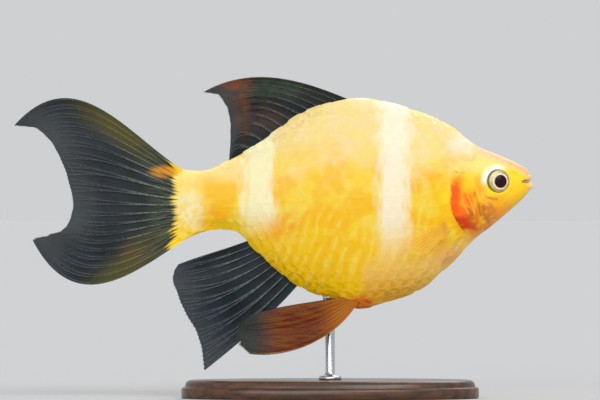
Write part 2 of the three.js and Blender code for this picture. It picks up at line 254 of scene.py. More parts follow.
station_grid, angle_grid = np.meshgrid(stations, angles, indexing="ij")
lean = MOUTH_LEAN * smoothstep(LEAN_START, LAST_RING, station_grid) * np.sin(angle_grid) ** 2
skin_rings = body_point(station_grid - lean, angle_grid)
print("body grid:", skin_rings.shape)

# %% [markdown]
# ## Lips and mouth
# The mouth is small and ends the snout. Each lip is half of a ring of flesh that thins towards the corners
# of the mouth, and the skin rolls over it and on into the mouth, where the grid ends in one point. Built as
# more rings of the same grid, the lips have no seam with the head.

# %% The lips as the last rings of the grid
MOUTH_CENTRE = (49.22, 2.6)  # X and Z of the mouth's slit
LIP_HALF_WIDTH = 1.2
LIP_HALF_HEIGHT = 0.55
LIP_THICKNESS = 0.5
CORNER_THICKNESS = 0.24
LOWER_LIP_FORWARD = 0.2
ROLL = np.radians([84, 76, 64, 50, 36, 22, 8, -6, -20, -34, -48, -62, -76, -90])
side_share = np.sin(angles) ** 2
lip_thickness = LIP_THICKNESS + (CORNER_THICKNESS - LIP_THICKNESS) * side_share
lower_share = (np.cos(angles) < 0) * np.cos(angles) ** 2
lip_x = MOUTH_CENTRE[0] - MOUTH_LEAN * side_share + LOWER_LIP_FORWARD * lower_share
lip_y = -LIP_HALF_WIDTH * np.sin(angles)
lip_z = MOUTH_CENTRE[1] + LIP_HALF_HEIGHT * np.cos(angles)
lip_rings = []
for roll in ROLL:
    outward = lip_thickness * np.sin(roll)
    lip_rings.append(np.stack([
        lip_x + lip_thickness * np.cos(roll),
        lip_y - outward * np.sin(angles),
        lip_z + outward * np.cos(angles),
    ], -1))
throat = lip_rings[-1].copy()
THROAT_DEPTH = 0.9
throat_middle = np.array([MOUTH_CENTRE[0] - MOUTH_LEAN - THROAT_DEPTH, 0.0, MOUTH_CENTRE[1]])
for share in (0.4, 0.75):
    lip_rings.append(throat * (1 - share) + throat_middle * share)
lip_rings = np.array(lip_rings)
print("lip rings:", len(lip_rings))

# %% [markdown]
# ## Relief of the head
# The gill cover is a thin plate whose free edge stands off the body, with the narrower preopercle before
# it. The eye lies in a socket with a soft rim, and two nostrils open before it. All of these are heights
# along the skin's own normal, worked out from the distance to a few drawn lines, so both sides are alike.

# %% Distances on the side of the head
GILL_EDGE = [
    (41.0, 6.3), (40.4, 5.7), (39.6, 4.7), (38.6, 3.1), (38.05, 1.1), (38.35, -1.4), (39.2, -3.2),
    (40.4, -4.6), (42.2, -5.6), (44.6, -5.2),
]
PREOPERCLE = [(40.9, 4.4), (41.7, 2.8), (42.4, 0.6), (42.9, -1.4), (42.7, -3.0), (42.0, -4.4)]
EYE = (44.8, 2.62)
EYE_RADIUS = 1.72
CHEEK = (43.4, -0.6)
NOSTRILS = [(46.95, 3.95), (47.35, 3.72)]
LINE_POINTS = 60


def curve_through(points, count):
    """Points along a smooth open curve (Catmull-Rom) through a few."""
    p = np.array(points, float)
    p = np.concatenate([[2 * p[0] - p[1]], p, [2 * p[-1] - p[-2]]])
    u = np.linspace(0, len(points) - 1, count)
    i = np.minimum(u.astype(int), len(points) - 2)
    t = (u - i)[:, None]
    a, b, c, d = p[i], p[i + 1], p[i + 2], p[i + 3]
    return 0.5 * (2 * b + (c - a) * t + (2 * a - 5 * b + 4 * c - d) * t**2 + (3 * b - a - 3 * c + d) * t**3)


def signed_distance(x, z, line):
    """Distance to a drawn line: positive on its right as it runs, seen from the right flank."""
    start, end = line[:-1], line[1:]
    run = end - start
    point = np.stack([x, z], -1)[..., None, :]
    t = np.clip(((point - start) * run).sum(-1) / (run**2).sum(-1), 0, 1)
    away = point - (start + t[..., None] * run)
    size = np.hypot(away[..., 0], away[..., 1])
    nearest = size.argmin(-1)
    cross = run[..., 0] * away[..., 1] - run[..., 1] * away[..., 0]
    side = np.take_along_axis(cross, nearest[..., None], -1)[..., 0]
    return np.take_along_axis(size, nearest[..., None], -1)[..., 0] * np.where(side < 0, -1, 1)


gill_edge = curve_through(GILL_EDGE, LINE_POINTS)
preopercle = curve_through(PREOPERCLE, LINE_POINTS // 2)
gill_steps = np.linalg.norm(np.diff(gill_edge, axis=0), axis=1)
print("gill edge:", round(float(gill_steps.sum()), 1), "mm long")

# %% Heights of the head's relief, in millimetres
GILL_RISE = 0.20  # the free edge of the gill cover, and how far its swelling reaches
GILL_REACH = 1.7
GROOVE_DEPTH = 0.13  # the groove behind that edge
GROOVE_REACH = 0.38
FOLD_DEPTH = 0.10  # the crease of the preopercle, with a low ridge beside it
FOLD_RIDGE = 0.07
CHEEK_RISE = 0.10
CHEEK_REACH = 1.2
RIM_RISE = 0.08  # the soft rim of the eye socket
RIM_RADIUS = 1.9
SOCKET_DEPTH = 1.35
SOCKET_RADIUS = 1.64
NOSTRIL_RISE = 0.05
NOSTRIL_DEPTH = 0.26


def swell(away, reach):
    """1 at a place or on a line, falling to 0 over its reach."""
    return np.exp(-((away / reach) ** 2))


def head_relief(x, z):
    """Height of the head's features above the loft."""
    near = signed_distance(x, z, gill_edge)
    rise = GILL_RISE * np.exp(-np.maximum(near, 0) / GILL_REACH)
    groove = -GROOVE_DEPTH * np.exp(-np.maximum(-near, 0) / GROOVE_REACH)
    ends = smoothstep(5.3, 3.6, z) * smoothstep(-5.3, -3.7, z)
    height = ends * np.where(near > 0, rise, groove)
    fold = signed_distance(x, z, preopercle)
    ends = smoothstep(4.6, 3.4, z) * smoothstep(-4.6, -3.4, z)
    height += ends * (FOLD_RIDGE * swell(fold - 0.45, 0.35) - FOLD_DEPTH * swell(fold, 0.16))
    eye = np.hypot(x - EYE[0], z - EYE[1])
    height += RIM_RISE * swell(eye - RIM_RADIUS, 0.22)
    height -= SOCKET_DEPTH * smoothstep(SOCKET_RADIUS, 1.0, eye)
    height += CHEEK_RISE * swell(x - CHEEK[0], CHEEK_REACH) * swell(z - CHEEK[1], CHEEK_REACH)
    for nostril in NOSTRILS:
        away = np.hypot(x - nostril[0], z - nostril[1])
        height += NOSTRIL_RISE * swell(away - 0.24, 0.08) - NOSTRIL_DEPTH * swell(away, 0.13)
    return height


across_eye = head_relief(np.array([EYE[0]]), np.array([EYE[1]]))
print("socket's depth:", round(float(-across_eye[0]), 2), "mm")

# %% Push the relief out along the skin's normals
COAT_DEPTH = 0.05  # the skin lies this far inside the scales
SCALED_UNTIL = 38.0
HEAD_FROM = 35.0  # the head's relief fades in from here
FADE = 1.5


def grid_normals(grid):
    along = np.gradient(grid, axis=0)
    around = (np.roll(grid, -1, axis=1) - np.roll(grid, 1, axis=1)) / 2
    normal = np.cross(around, along)
    return normal / np.maximum(np.linalg.norm(normal, axis=-1, keepdims=True), 1e-9)


normals = grid_normals(skin_rings)
on_head = smoothstep(HEAD_FROM, HEAD_FROM + FADE, skin_rings[..., 0])
raised = head_relief(skin_rings[..., 0], skin_rings[..., 2]) * on_head
raised -= COAT_DEPTH * smoothstep(SCALED_UNTIL + 0.4 * FADE, SCALED_UNTIL, skin_rings[..., 0])
skin_rings = skin_rings + normals * raised[..., None]
on_right = skin_rings[..., 1] < -half(20)
print("normals on the right flank point out:", bool((normals[on_right][:, 1] < 0).all()))

# %% Close the grid into one skin
def closed_grid(rings, first_pole, last_pole):
    """Points and faces of rings joined into one closed surface, with a point at each end."""
    count, around = rings.shape[:2]
    points = np.concatenate([rings.reshape(-1, 3), [first_pole, last_pole]])
    faces = []
    for i in range(count - 1):
        for j in range(around):
            k = (j + 1) % around
            faces.append((i * around + j, (i + 1) * around + j, (i + 1) * around + k, i * around + k))
    first, last = count * around, count * around + 1
    for j in range(around):
        k = (j + 1) % around
        faces.append((first, j, k))
        faces.append((last, (count - 1) * around + k, (count - 1) * around + j))
    return points, faces


def mesh_piece(name, points, faces):
    """A smooth mesh object from points in the fish's millimetres."""
    mesh = bpy.data.meshes.new(name)
    mesh.from_pydata(in_frame(points).tolist(), [], faces)
    mesh.update()
    mesh.shade_smooth()
    return put(name, mesh)


all_rings = np.concatenate([skin_rings, lip_rings])
tail_pole = all_rings[0].mean(0)
points, faces = closed_grid(all_rings, tail_pole, throat_middle)
skin = mesh_piece("skin", points, faces)
print("skin:", len(faces), "faces")

# %% [markdown]
# The finest marks of the head follow lines: the gill cover's glowing edge, pale and dark strokes on the
# cheek, and the halo behind the eye, which is a painted highlight. The same distances that made the relief
# give their strength at every point of the skin. They are kept as attributes, which the finish reads; the
# scales have none and stay bare.

# %% Marks that follow lines on the head
PALE_STROKES = [
    [(39.7, 0.2), (40.0, -0.7), (40.6, -1.9)],
    [(40.5, 0.6), (41.0, -0.5), (41.5, -1.9)],
    [(41.8, 1.6), (42.2, 0.3), (43.0, -0.6), (43.6, -0.8)],
    [(42.4, 1.2), (42.9, 0.3), (43.9, -0.2)],
    [(41.2, 3.9), (41.4, 3.0), (41.3, 2.0)],
]
DARK_STROKES = [
    [(41.5, 0.9), (42.0, -0.6), (42.4, -2.2)],
    [(42.7, -0.9), (42.9, -2.3), (43.5, -3.3)],
    [(43.0, 0.4), (43.9, 0.2), (44.6, 0.1)],
    [(40.7, -1.2), (41.3, -2.6), (41.4, -3.8)],
]
PALE_WIDTH = 0.17
DARK_WIDTH = 0.34
STROKE_POINTS = 16
# The halo round the eye is a painted highlight, just outside the socket's rim.
HIGHLIGHT_SIDE = (-0.6, 0.8)  # the halo lies above and behind the eye


def strokes(x, z, lines, width):
    """1 along a set of drawn lines, falling to 0 at their width."""
    strength = np.zeros_like(x)
    for line in lines:
        away = np.abs(signed_distance(x, z, curve_through(line, STROKE_POINTS)))
        strength = np.maximum(strength, smoothstep(width, 0.2 * width, away))
    return strength


def gill_glow(x, z):
    """The red crescent inside the gill cover's free edge, broader low down."""
    ahead = signed_distance(x, z, gill_edge)
    breadth = 1.9 + 0.5 * smoothstep(-1.4, -3.0, z) + 0.2 * np.sin(2.3 * z)
    ends = smoothstep(3.5, 2.0, z) * smoothstep(-4.7, -3.8, z)
    return smoothstep(breadth, 0.3 * breadth, ahead) * (ahead > -0.05) * ends


# Painted highlight: a pale crescent just outside the eye, above and behind it.
def eye_rim_highlight(x, z):
    away = np.hypot(x - EYE[0], z - EYE[1])
    towards = (HIGHLIGHT_SIDE[0] * (x - EYE[0]) + HIGHLIGHT_SIDE[1] * (z - EYE[1])) / np.maximum(away, 0.01)
    return smoothstep(2.75, 1.85, away) * smoothstep(0.1, 0.85, towards)


def keep(mesh, label, values, kind="FLOAT"):
    """Store a number, or a vector, at each point of a mesh for the finishes to read."""
    layer = mesh.attributes.new(label, kind, "POINT")
    layer.data.foreach_set("value" if kind == "FLOAT" else "vector", np.asarray(values, np.float32).ravel())


skin_x, skin_z = points[:, 0], points[:, 2]
on_cheek = smoothstep(37.9, 38.1, skin_x)
skin_marks = {
    "gill_glow": gill_glow(skin_x, skin_z) * on_cheek,
    "pale_stroke": strokes(skin_x, skin_z, PALE_STROKES, PALE_WIDTH),
    "dark_stroke": strokes(skin_x, skin_z, DARK_STROKES, DARK_WIDTH),
    "eye_rim_highlight": eye_rim_highlight(skin_x, skin_z),
    "under_back": (back(skin_x) - skin_z) * on_cheek,
}
for label, values in skin_marks.items():
    keep(skin.data, label, values)
print("marks kept:", list(skin_marks))

# %% [markdown]
# ## A small box of tools for materials
# Every finish here is mixed by nodes from the place on the object, so that the same marking falls on skin
# and scales alike. Writing node trees by hand is long, so `Finish` wraps one: each of its calls adds a node
# and gives back its output.

# %% A helper that writes node trees
def colour(red, green, blue):
    """A colour as seen on a screen, 0 to 255, in the linear values that shaders use."""
    parts = [c / 255 for c in (red, green, blue)]
    return (*[c / 12.92 if c <= 0.04045 else ((c + 0.055) / 1.055) ** 2.4 for c in parts], 1)


class Finish:
    """A material's nodes; x, y and z are the place on the fish in millimetres."""

    def __init__(self, name):
        self.material = bpy.data.materials.new(name)
        self.material.use_nodes = True
        self.tree = self.material.node_tree
        self.shader = self.tree.nodes["Principled BSDF"]
        place = self.tree.nodes.new("ShaderNodeTexCoord").outputs["Object"]
        self.place = self.subtract_point(place, FISH_ORIGIN)
        split = self.node("ShaderNodeSeparateXYZ", self.place)
        self.x, self.y, self.z = split.outputs

    def node(self, kind, *values, **settings):
        """A node with its first inputs filled by outputs or numbers."""
        node = self.tree.nodes.new(kind)
        for key, value in settings.items():
            setattr(node, key, value)
        for socket, value in zip(node.inputs, values):
            self.fill(socket, value)
        return node

    def fill(self, socket, value):
        if isinstance(value, bpy.types.NodeSocket):
            self.tree.links.new(value, socket)
        elif value is not None:
            socket.default_value = value

    def subtract_point(self, vector, point):
        """The place in millimetres from the fish's own point."""
        moved = self.node("ShaderNodeVectorMath", vector, tuple(point), operation="SUBTRACT")
        scaled = self.node("ShaderNodeVectorMath", moved.outputs[0], operation="SCALE")
        scaled.inputs["Scale"].default_value = 1 / MM
        return scaled.outputs[0]

    def math(self, operation, a, b=None):
        return self.node("ShaderNodeMath", a, b, operation=operation).outputs[0]

    def plus(self, a, b):
        return self.math("ADD", a, b)

    def minus(self, a, b):
        return self.math("SUBTRACT", a, b)

    def times(self, made, *factors):
        """The product of an output and more outputs or numbers."""
        for factor in factors:
            made = self.math("MULTIPLY", made, factor)
        return made

    def ragged(self, noise, height):
        """A noise that swings about zero and makes a border ragged."""
        return self.times(self.minus(noise, 0.5), height)

    def ramp(self, value, low, high, to_low=0.0, to_high=1.0):
        """A soft step from low to high."""
        span = (value, low, high, to_low, to_high)
        return self.node("ShaderNodeMapRange", *span, interpolation_type="SMOOTHSTEP").outputs[0]

    def spot(self, x, z, reach_x, reach_z, soft=1.0):
        """1 inside an oval on the side view, falling to 0 over its edge."""
        dx = self.math("DIVIDE", self.minus(self.x, x), reach_x)
        dz = self.math("DIVIDE", self.minus(self.z, z), reach_z)
        far = self.math("SQRT", self.plus(self.times(dx, dx), self.times(dz, dz)))
        return self.ramp(far, 1 + soft / 2, 1 - soft / 2)

    def noise(self, scale, detail=2.0, vector=None, roughness=0.5):
        node = self.node("ShaderNodeTexNoise")
        self.fill(node.inputs["Vector"], vector or self.place)
        node.inputs["Scale"].default_value = scale
        node.inputs["Detail"].default_value = detail
        node.inputs["Roughness"].default_value = roughness
        return node.outputs[0]

    def stretched(self, x, y, z):
        """The place, squeezed along each axis: a large number makes fine detail that way."""
        return self.node("ShaderNodeVectorMath", self.place, (x, y, z), operation="MULTIPLY").outputs[0]

    def attribute(self, name):
        return self.node("ShaderNodeAttribute", attribute_name=name).outputs["Fac"]

    def mix(self, share, under, over):
        """The colour over, laid on the colour under."""
        node = self.node("ShaderNodeMix", data_type="RGBA")
        self.fill(node.inputs[0], share)
        self.fill(node.inputs[6], under)
        self.fill(node.inputs[7], over)
        return node.outputs[2]

    def bump(self, height, strength, distance):
        node = self.node("ShaderNodeBump")
        node.inputs["Strength"].default_value = strength
        node.inputs["Distance"].default_value = distance
        self.fill(node.inputs["Height"], height)
        self.tree.links.new(node.outputs[0], self.shader.inputs["Normal"])

    def set(self, **values):
        for name, value in values.items():
            self.fill(self.shader.inputs[name.replace("_", " ")], value)


print("tools for materials ready")

# %% [markdown]
# ## Golden skin
# The flank is a strong golden yellow that pales to cream on the back. Two pale bands cross it where the
# wild fish's are black, one behind the head and one at the end of the dorsal fin. The breast is pinkish,
# as if its wall were thin, the gill cover glows red inside its rear edge, and slanting pale streaks mark
# the muscle under the lower flank. A painted highlight whitens the top of the back. Each of these is a
# soft shape laid over the one before.

# %% The markings of the flank
STREAK_PACE = 4.4  # radians of the streaks' wave for each millimetre
BAND_REACH = 3.3  # a pale band has faded out this far from its middle
TAIL_PALE = (1.0, 0.2, 2.0, 2.6, 1.2, 0.55, colour(254, 236, 140))
FAN_POINT = (6.9, -0.6)  # the tail's rays fan out from here


def paint_ovals(f, under, patchy, ovals):
    """Soft ovals of colour: each has its middle, its reach, its softness, its strength and its colour."""
    for x, z, reach_x, reach_z, soft, strength, paint in ovals:
        share = f.times(f.spot(x, z, reach_x, reach_z, soft), strength, patchy)
        under = f.mix(share, under, paint)
    return under


def paint_body(f):
    """The fish's colours, from the place on its body."""
    gold = colour(253, 208, 18)
    pale_gold = colour(251, 217, 80)
    deep_gold = colour(255, 200, 2)
    cream = colour(249, 224, 148)
    white = colour(254, 243, 212)
    orange = colour(253, 164, 12)
    flank = f.mix(f.ramp(f.noise(0.3, 4.0), 0.42, 0.62, 0, 0.75), gold, pale_gold)
    warm = f.ramp(f.noise(0.21, 3.0, f.stretched(1.0, 1.0, 1.25)), 0.44, 0.58, 0, 0.85)
    flank = f.mix(warm, flank, colour(253, 191, 10))
    ragged = f.ragged(f.noise(0.45, 3.0), 5.0)
    deep = f.times(f.ramp(f.plus(f.z, ragged), -3.5, -8.5), f.ramp(f.x, 6.0, 12.0), 0.9)
    flank = f.mix(deep, flank, deep_gold)
    high = f.plus(f.z, f.times(ragged, 0.8))
    on_trunk = f.times(f.ramp(f.x, 8, 15), f.ramp(f.x, 43, 37))
    flank = f.mix(f.times(f.ramp(high, 2.0, 10.0, 0, 0.85), on_trunk), flank, cream)
    rosy = f.times(f.ramp(f.noise(0.4, 3.0), 0.4, 0.68), f.ramp(high, 0.0, 6.0, 0, 0.45), on_trunk)
    flank = f.mix(rosy, flank, colour(250, 222, 176))
    stalk_top = f.times(f.ramp(f.z, 1.6, 4.4), f.ramp(f.x, 10.5, 7.5), 0.65)
    flank = f.mix(stalk_top, flank, colour(253, 234, 176))
    flank = paint_streaks(f, flank)
    flank = paint_ovals(f, flank, f.ramp(f.noise(0.5, 3.0), 0.3, 0.65), (
        (35.2, -5.8, 3.2, 1.3, 1.1, 0.85, orange),
        (14.6, -3.6, 2.6, 2.0, 1.1, 0.8, orange),
        (29.5, 4.8, 2.2, 1.6, 1.1, 0.3, orange),
        (4.8, -2.2, 2.6, 1.5, 1.1, 0.5, orange),
        (36.5, 1.8, 1.6, 2.6, 1.1, 0.3, orange),
    ))
    flank = paint_bands(f, paint_breast(f, flank), white)
    # Painted highlight: the top of the back is whitened where the light catches it.
    top_highlight = f.times(f.ramp(f.z, 12.6, 15.2), f.ramp(f.x, 22, 27), 0.6)
    flank = f.mix(top_highlight, flank, white)
    flank = paint_ovals(f, flank, 1.0, [(40.6, 8.0, 2.6, 1.7, 1.1, 0.8, white)])
    return paint_tail_end(f, paint_head(f, flank))


def paint_streaks(f, under):
    """Pale streaks over the muscle: they slant on the rear flank and stand upright near the front band."""
    slant = f.node("ShaderNodeMapRange", f.x, 17.0, 33.0, 0.4, 0.03).outputs[0]
    lean = f.plus(f.minus(f.x, f.times(f.z, slant)), f.times(f.noise(0.22, 1.0), 2.0))
    wave = f.math("SINE", f.times(lean, STREAK_PACE))
    place = f.math("MAXIMUM", f.spot(20.5, -7.5, 8.0, 5.6, 0.9), f.spot(31.5, -5.0, 4.6, 6.4, 0.9))
    place = f.times(place, f.ramp(f.noise(0.55, 2.0), 0.36, 0.6))
    made = f.mix(f.times(f.ramp(wave, -0.1, 1.0), place, 0.4), under, colour(253, 228, 104))
    return f.mix(f.times(f.ramp(wave, 0.1, -1.0), place, 0.3), made, colour(246, 182, 6))


def breast_share(f):
    """The thin-walled breast: below a line that climbs to the gill cover, with a sharp rear end."""
    ragged = f.ragged(f.noise(0.6, 3.0), 3.4)
    climb = f.times(f.math("MAXIMUM", f.minus(f.x, 33.0), 0.0), 0.45)
    under = f.plus(f.minus(f.z, climb), ragged)
    rear = f.plus(f.x, f.times(ragged, 0.25))
    return f.times(f.ramp(under, -7.4, -9.8), f.ramp(rear, 25.2, 26.6))


def paint_breast(f, under):
    """Pinkish flesh with pale specks, a blush behind the gill cover and the reddish vent."""
    share = breast_share(f)
    flesh = f.mix(f.ramp(f.z, -9.0, -13.5), colour(250, 200, 98), colour(240, 172, 54))
    made = f.mix(f.times(share, 0.85), under, flesh)
    specks = f.times(f.ramp(f.noise(2.6, 1.0), 0.66, 0.74, 0, 0.6), share)
    made = f.mix(specks, made, colour(252, 232, 180))
    return paint_ovals(f, made, 1.0, (
        (38.5, -8.2, 2.4, 1.4, 1.2, 0.5, colour(250, 168, 100)),
        (25.4, -14.6, 1.8, 1.1, 0.9, 0.85, colour(240, 112, 34)),
    ))


def paint_bands(f, under, white):
    """The two pale bands with their ragged sides, which fade out downwards."""
    ragged = f.ragged(f.noise(0.9, 4.0, f.stretched(1.4, 1.0, 0.35)), 3.6)
    for middle, inside, bottom, full, strength, paint in (
        (30.1, 0.9, -10.5, -1.5, 0.9, white),
        (11.1, 1.0, -6.0, -1.0, 0.92, colour(253, 245, 196)),
    ):
        across = f.math("ABSOLUTE", f.plus(f.minus(f.x, middle), ragged))
        share = f.times(f.ramp(across, BAND_REACH, inside), f.ramp(f.z, bottom, full), strength)
        under = f.mix(share, under, paint)
    return under


def tail_streaks(f):
    """Noise drawn out along the tail's rays."""
    fan = f.math("DIVIDE", f.minus(f.z, FAN_POINT[1]), f.minus(FAN_POINT[0], f.x))
    place = f.node("ShaderNodeCombineXYZ", f.times(fan, 26.0), f.times(f.x, 0.3))
    return f.noise(1.0, 3.0, place.outputs[0])


def tail_gold(f):
    """The body's gold near its end, and how much of it is left: it runs out along the rays in streaks."""
    gold = paint_ovals(f, colour(253, 212, 40), 1.0, [TAIL_PALE])
    high = f.math("ABSOLUTE", f.minus(f.z, -0.9))
    edge = f.plus(f.x, f.ragged(tail_streaks(f), 3.4))
    edge = f.plus(edge, f.times(f.ramp(high, 2.6, 5.4), 0.5))
    return gold, f.ramp(edge, -1.3, -0.25)


def fin_root_green(f):
    return f.mix(f.ramp(tail_streaks(f), 0.4, 0.6), colour(26, 36, 34), colour(70, 80, 60))


def paint_tail_end(f, under):
    """The last of the body: pale patches, then the gold gives way to the green of the fin's root."""
    patchy = f.ramp(f.noise(0.9, 4.0), 0.35, 0.6, 0.15, 0.8)
    made = paint_ovals(f, under, 1.0, [TAIL_PALE])
    made = paint_ovals(f, made, patchy, [(1.4, -1.5, 1.8, 2.6, 1.5, 1.0, colour(253, 241, 190))])
    return f.mix(tail_gold(f)[1], fin_root_green(f), made)


def paint_fin_root(f, under):
    """The first of the tail fin: the same gold, and an orange patch on its upper rays."""
    gold, share = tail_gold(f)
    lit = f.ramp(tail_streaks(f), 0.34, 0.56, 0.15, 0.95)
    made = f.mix(share, under, gold)
    return paint_ovals(f, made, lit, [(-2.2, 4.0, 1.8, 0.8, 1.1, 1.0, colour(222, 146, 34))])


print("body paint ready")

# %% The markings of the head
def paint_head(f, under):
    """Yellow head, pink lips and forehead, red gill edge, strokes on the cheek, a painted highlight by the
    eye and painted shade in the mouth's slit.
    """
    below_back = f.attribute("under_back")
    on_head = f.ramp(f.x, 40.5, 43.0)
    mottled = f.ramp(f.noise(0.9, 3.0), 0.3, 0.6, 0.45, 1.0)
    made = f.mix(f.times(on_head, 0.8), under, colour(252, 214, 48))
    made = paint_ovals(f, made, mottled, (
        (42.6, -2.8, 3.6, 3.0, 1.0, 0.85, colour(230, 124, 10)),
        (45.6, -0.9, 2.4, 1.3, 1.1, 0.85, colour(253, 158, 26)),
        (39.8, 0.4, 1.6, 2.9, 0.7, 0.95, colour(246, 116, 2)),
        (42.0, 1.8, 1.1, 1.7, 1.0, 0.8, colour(250, 162, 8)),
        (47.6, 0.9, 1.9, 1.4, 1.1, 0.8, colour(253, 196, 8)),
        (40.5, 2.5, 1.0, 1.4, 1.0, 0.85, colour(244, 212, 26)),
        (41.0, -2.9, 1.0, 1.1, 0.9, 0.8, colour(196, 92, 8)),
        (43.6, -1.9, 0.9, 1.4, 0.9, 0.75, colour(204, 112, 50)),
    ))
    made = paint_ovals(f, made, 1.0, [(42.8, 5.7, 3.4, 1.7, 1.2, 0.6, colour(252, 224, 158))])
    red = f.mix(f.ramp(f.z, -1.6, -3.0), colour(252, 92, 4), colour(202, 52, 4))
    pink = f.times(f.ramp(below_back, 1.5, 0.7), on_head)
    line = f.ramp(f.math("ABSOLUTE", f.minus(below_back, 0.42)), 0.34, 0.05)
    # Painted shade: a dark line along the mouth's slit, where the lips meet.
    slit = f.ramp(f.math("ABSOLUTE", f.minus(f.z, MOUTH_CENTRE[1])), 0.24, 0.08)
    for share, paint in (
        (f.times(f.attribute("gill_glow"), f.ramp(mottled, 0.4, 0.8, 0.7, 1.0)), red),
        (f.times(f.attribute("dark_stroke"), mottled, 0.5), colour(168, 84, 16)),
        (f.times(f.attribute("pale_stroke"), mottled, 0.34), colour(252, 218, 116)),
        # painted highlight above and behind the eye
        (f.attribute("eye_rim_highlight"), colour(255, 251, 230)),
        (f.times(pink, 0.75), colour(246, 200, 148)),
        (f.times(line, pink, 0.5), colour(226, 150, 118)),
        (f.times(f.ramp(f.x, 48.7, 49.5), 0.85), colour(248, 200, 150)),
        # painted shade in the mouth's slit
        (f.times(slit, f.ramp(f.x, 49.6, 48.9), f.ramp(f.x, 48.0, 48.3), 0.75), colour(140, 62, 30)),
    ):
        made = f.mix(share, made, paint)
    return made


def skin_finish():
    """Moist skin: markings, a little light under the surface and a wet coat."""
    f = Finish("golden_skin")
    f.set(Base_Color=paint_body(f), Roughness=f.ramp(f.noise(1.2), 0.3, 0.7, 0.32, 0.44))
    f.set(Subsurface_Weight=0.15, Subsurface_Scale=0.0012, Subsurface_Radius=(1.0, 0.55, 0.2))
    f.set(Coat_Weight=0.12, Coat_Roughness=0.2, Specular_IOR_Level=0.2)
    f.bump(f.noise(3.2, 3.0), 0.12, 0.00006)
    return f.material


def dress(piece, material, slot_name, *nodes):
    """Give a piece its material, hide the solids that it stands for and hang it from the root's empty;
    nothing here moves.
    """
    piece.data.materials.append(material)
    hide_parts(*nodes)
    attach(piece, "root")
    print(piece.name, len(piece.data.polygons), "faces")


golden_skin = skin_finish()
dress(skin, golden_skin, "body_skin", "head", "trunk", "tail_stalk", "gill_cover_right", "gill_cover_left")
print("skin's finish:", len(golden_skin.node_tree.nodes), "nodes")

# %% [markdown]
# ## Scales
# A barb wears large, thin, round scales in rows along the body, each one covering the roots of the next.
# They are far too many to model one by one, so one plate is made and Geometry Nodes set a copy on each
# point of a lattice. The lattice walks out from the middle of the flank in equal steps, so that the rows
# keep their width where the body grows narrow, and end at the back and the belly as real rows do.

# %% A lattice of scale roots on both flanks
SCALE_PITCH = 1.72  # from one scale to the next along a row
ROW_PITCH = 1.5  # from row to row
TAIL_SHARE = 0.66  # the scales' share of their full size on the tail stalk
FIRST_COLUMN = 40.6  # where the first and the last scales stand
LAST_COLUMN = -0.3
BARE_RIM = 0.85  # no root lies this close behind the gill cover
EDGE_ROOM = 1.1  # the last row lies this far from the ridge of the back or belly
GILL_TOP = 5.2  # above this level the scales run on over the gill cover's end
NAPE_LINE = 41.0  # the scales end here behind the head, and further back the higher they lie
NAPE_LEVEL = 6.0
NAPE_SLOPE = 0.4
SECTION_STEPS = 401
POLE_ROOM = 0.02  # the section's first and last angle, off the ridges of back and belly
LIE_STEP = 0.3  # a scale points at the same angle this far behind it
MAP_LENGTH = 60.0  # millimetres of the fish across the unwrapped coat, and round its girth
MAP_GIRTH = 90.0


def scale_size(x):
    """The scales' share of their full size, which falls towards the tail."""
    return TAIL_SHARE + (1 - TAIL_SHARE) * float(smoothstep(3.0, 17.0, x))


def columns_of_scales():
    """Stations of the lattice's columns, half a scale apart, closer where the scales are smaller."""
    x, made = FIRST_COLUMN, []
    while x > LAST_COLUMN:
        made.append(x)
        x -= scale_size(x) * SCALE_PITCH / 2
    return made


def scale_lattice():
    """Root, outward direction, lie, place on the unwrapped skin and size of each scale."""
    roots, outs, lies, maps, sizes = [], [], [], [], []
    turn = np.linspace(POLE_ROOM, np.pi - POLE_ROOM, SECTION_STEPS)
    middle = len(turn) // 2
    for number, column in enumerate(columns_of_scales()):
        size = scale_size(column)
        section = body_point(np.full_like(turn, column), turn)
        behind = body_point(np.full_like(turn, column - LIE_STEP), turn)
        walked = np.concatenate([[0], np.cumsum(np.linalg.norm(np.diff(section, axis=0), axis=1))])
        walked -= walked[middle]
        rows = int(walked[-1] / (size * ROW_PITCH)) + 1
        for row in range(-rows, rows + 1):
            place = row * size * ROW_PITCH
            if row % 2 != number % 2 or not walked[0] + EDGE_ROOM < place < walked[-1] - EDGE_ROOM:
                continue
            i = int(np.clip(np.searchsorted(walked, place), 1, len(walked) - 2))
            root = section[i]
            ahead = signed_distance(root[0], root[2], gill_edge) > -BARE_RIM and root[2] < GILL_TOP
            if ahead or root[0] > NAPE_LINE - max(root[2] - NAPE_LEVEL, 0) * NAPE_SLOPE:
                continue
            lie = (behind[i] - root) / np.linalg.norm(behind[i] - root)
            out = np.cross(section[i + 1] - section[i - 1], lie)
            out /= np.linalg.norm(out)
            if out[1] > 0:
                out = -out
            for side in (1, -1):
                mirror = np.array([1, side, 1])
                roots.append(root * mirror)
                outs.append(out * mirror)
                lies.append(lie * mirror)
                sizes.append(size)
                maps.append((column / MAP_LENGTH + 0.1, 0.5 - side * (0.25 + place / MAP_GIRTH), 0.0))
    return [np.array(values) for values in (roots, outs, lies, maps, sizes)]


roots, outs, lies, maps, sizes = scale_lattice()
lattice = mesh_piece("scale_roots", roots, [])
for label, values in (("outward", outs), ("lie", lies), ("map_place", maps)):
    keep(lattice.data, label, values, "FLOAT_VECTOR")
keep(lattice.data, "plate_size", sizes)
print("scales:", len(roots))

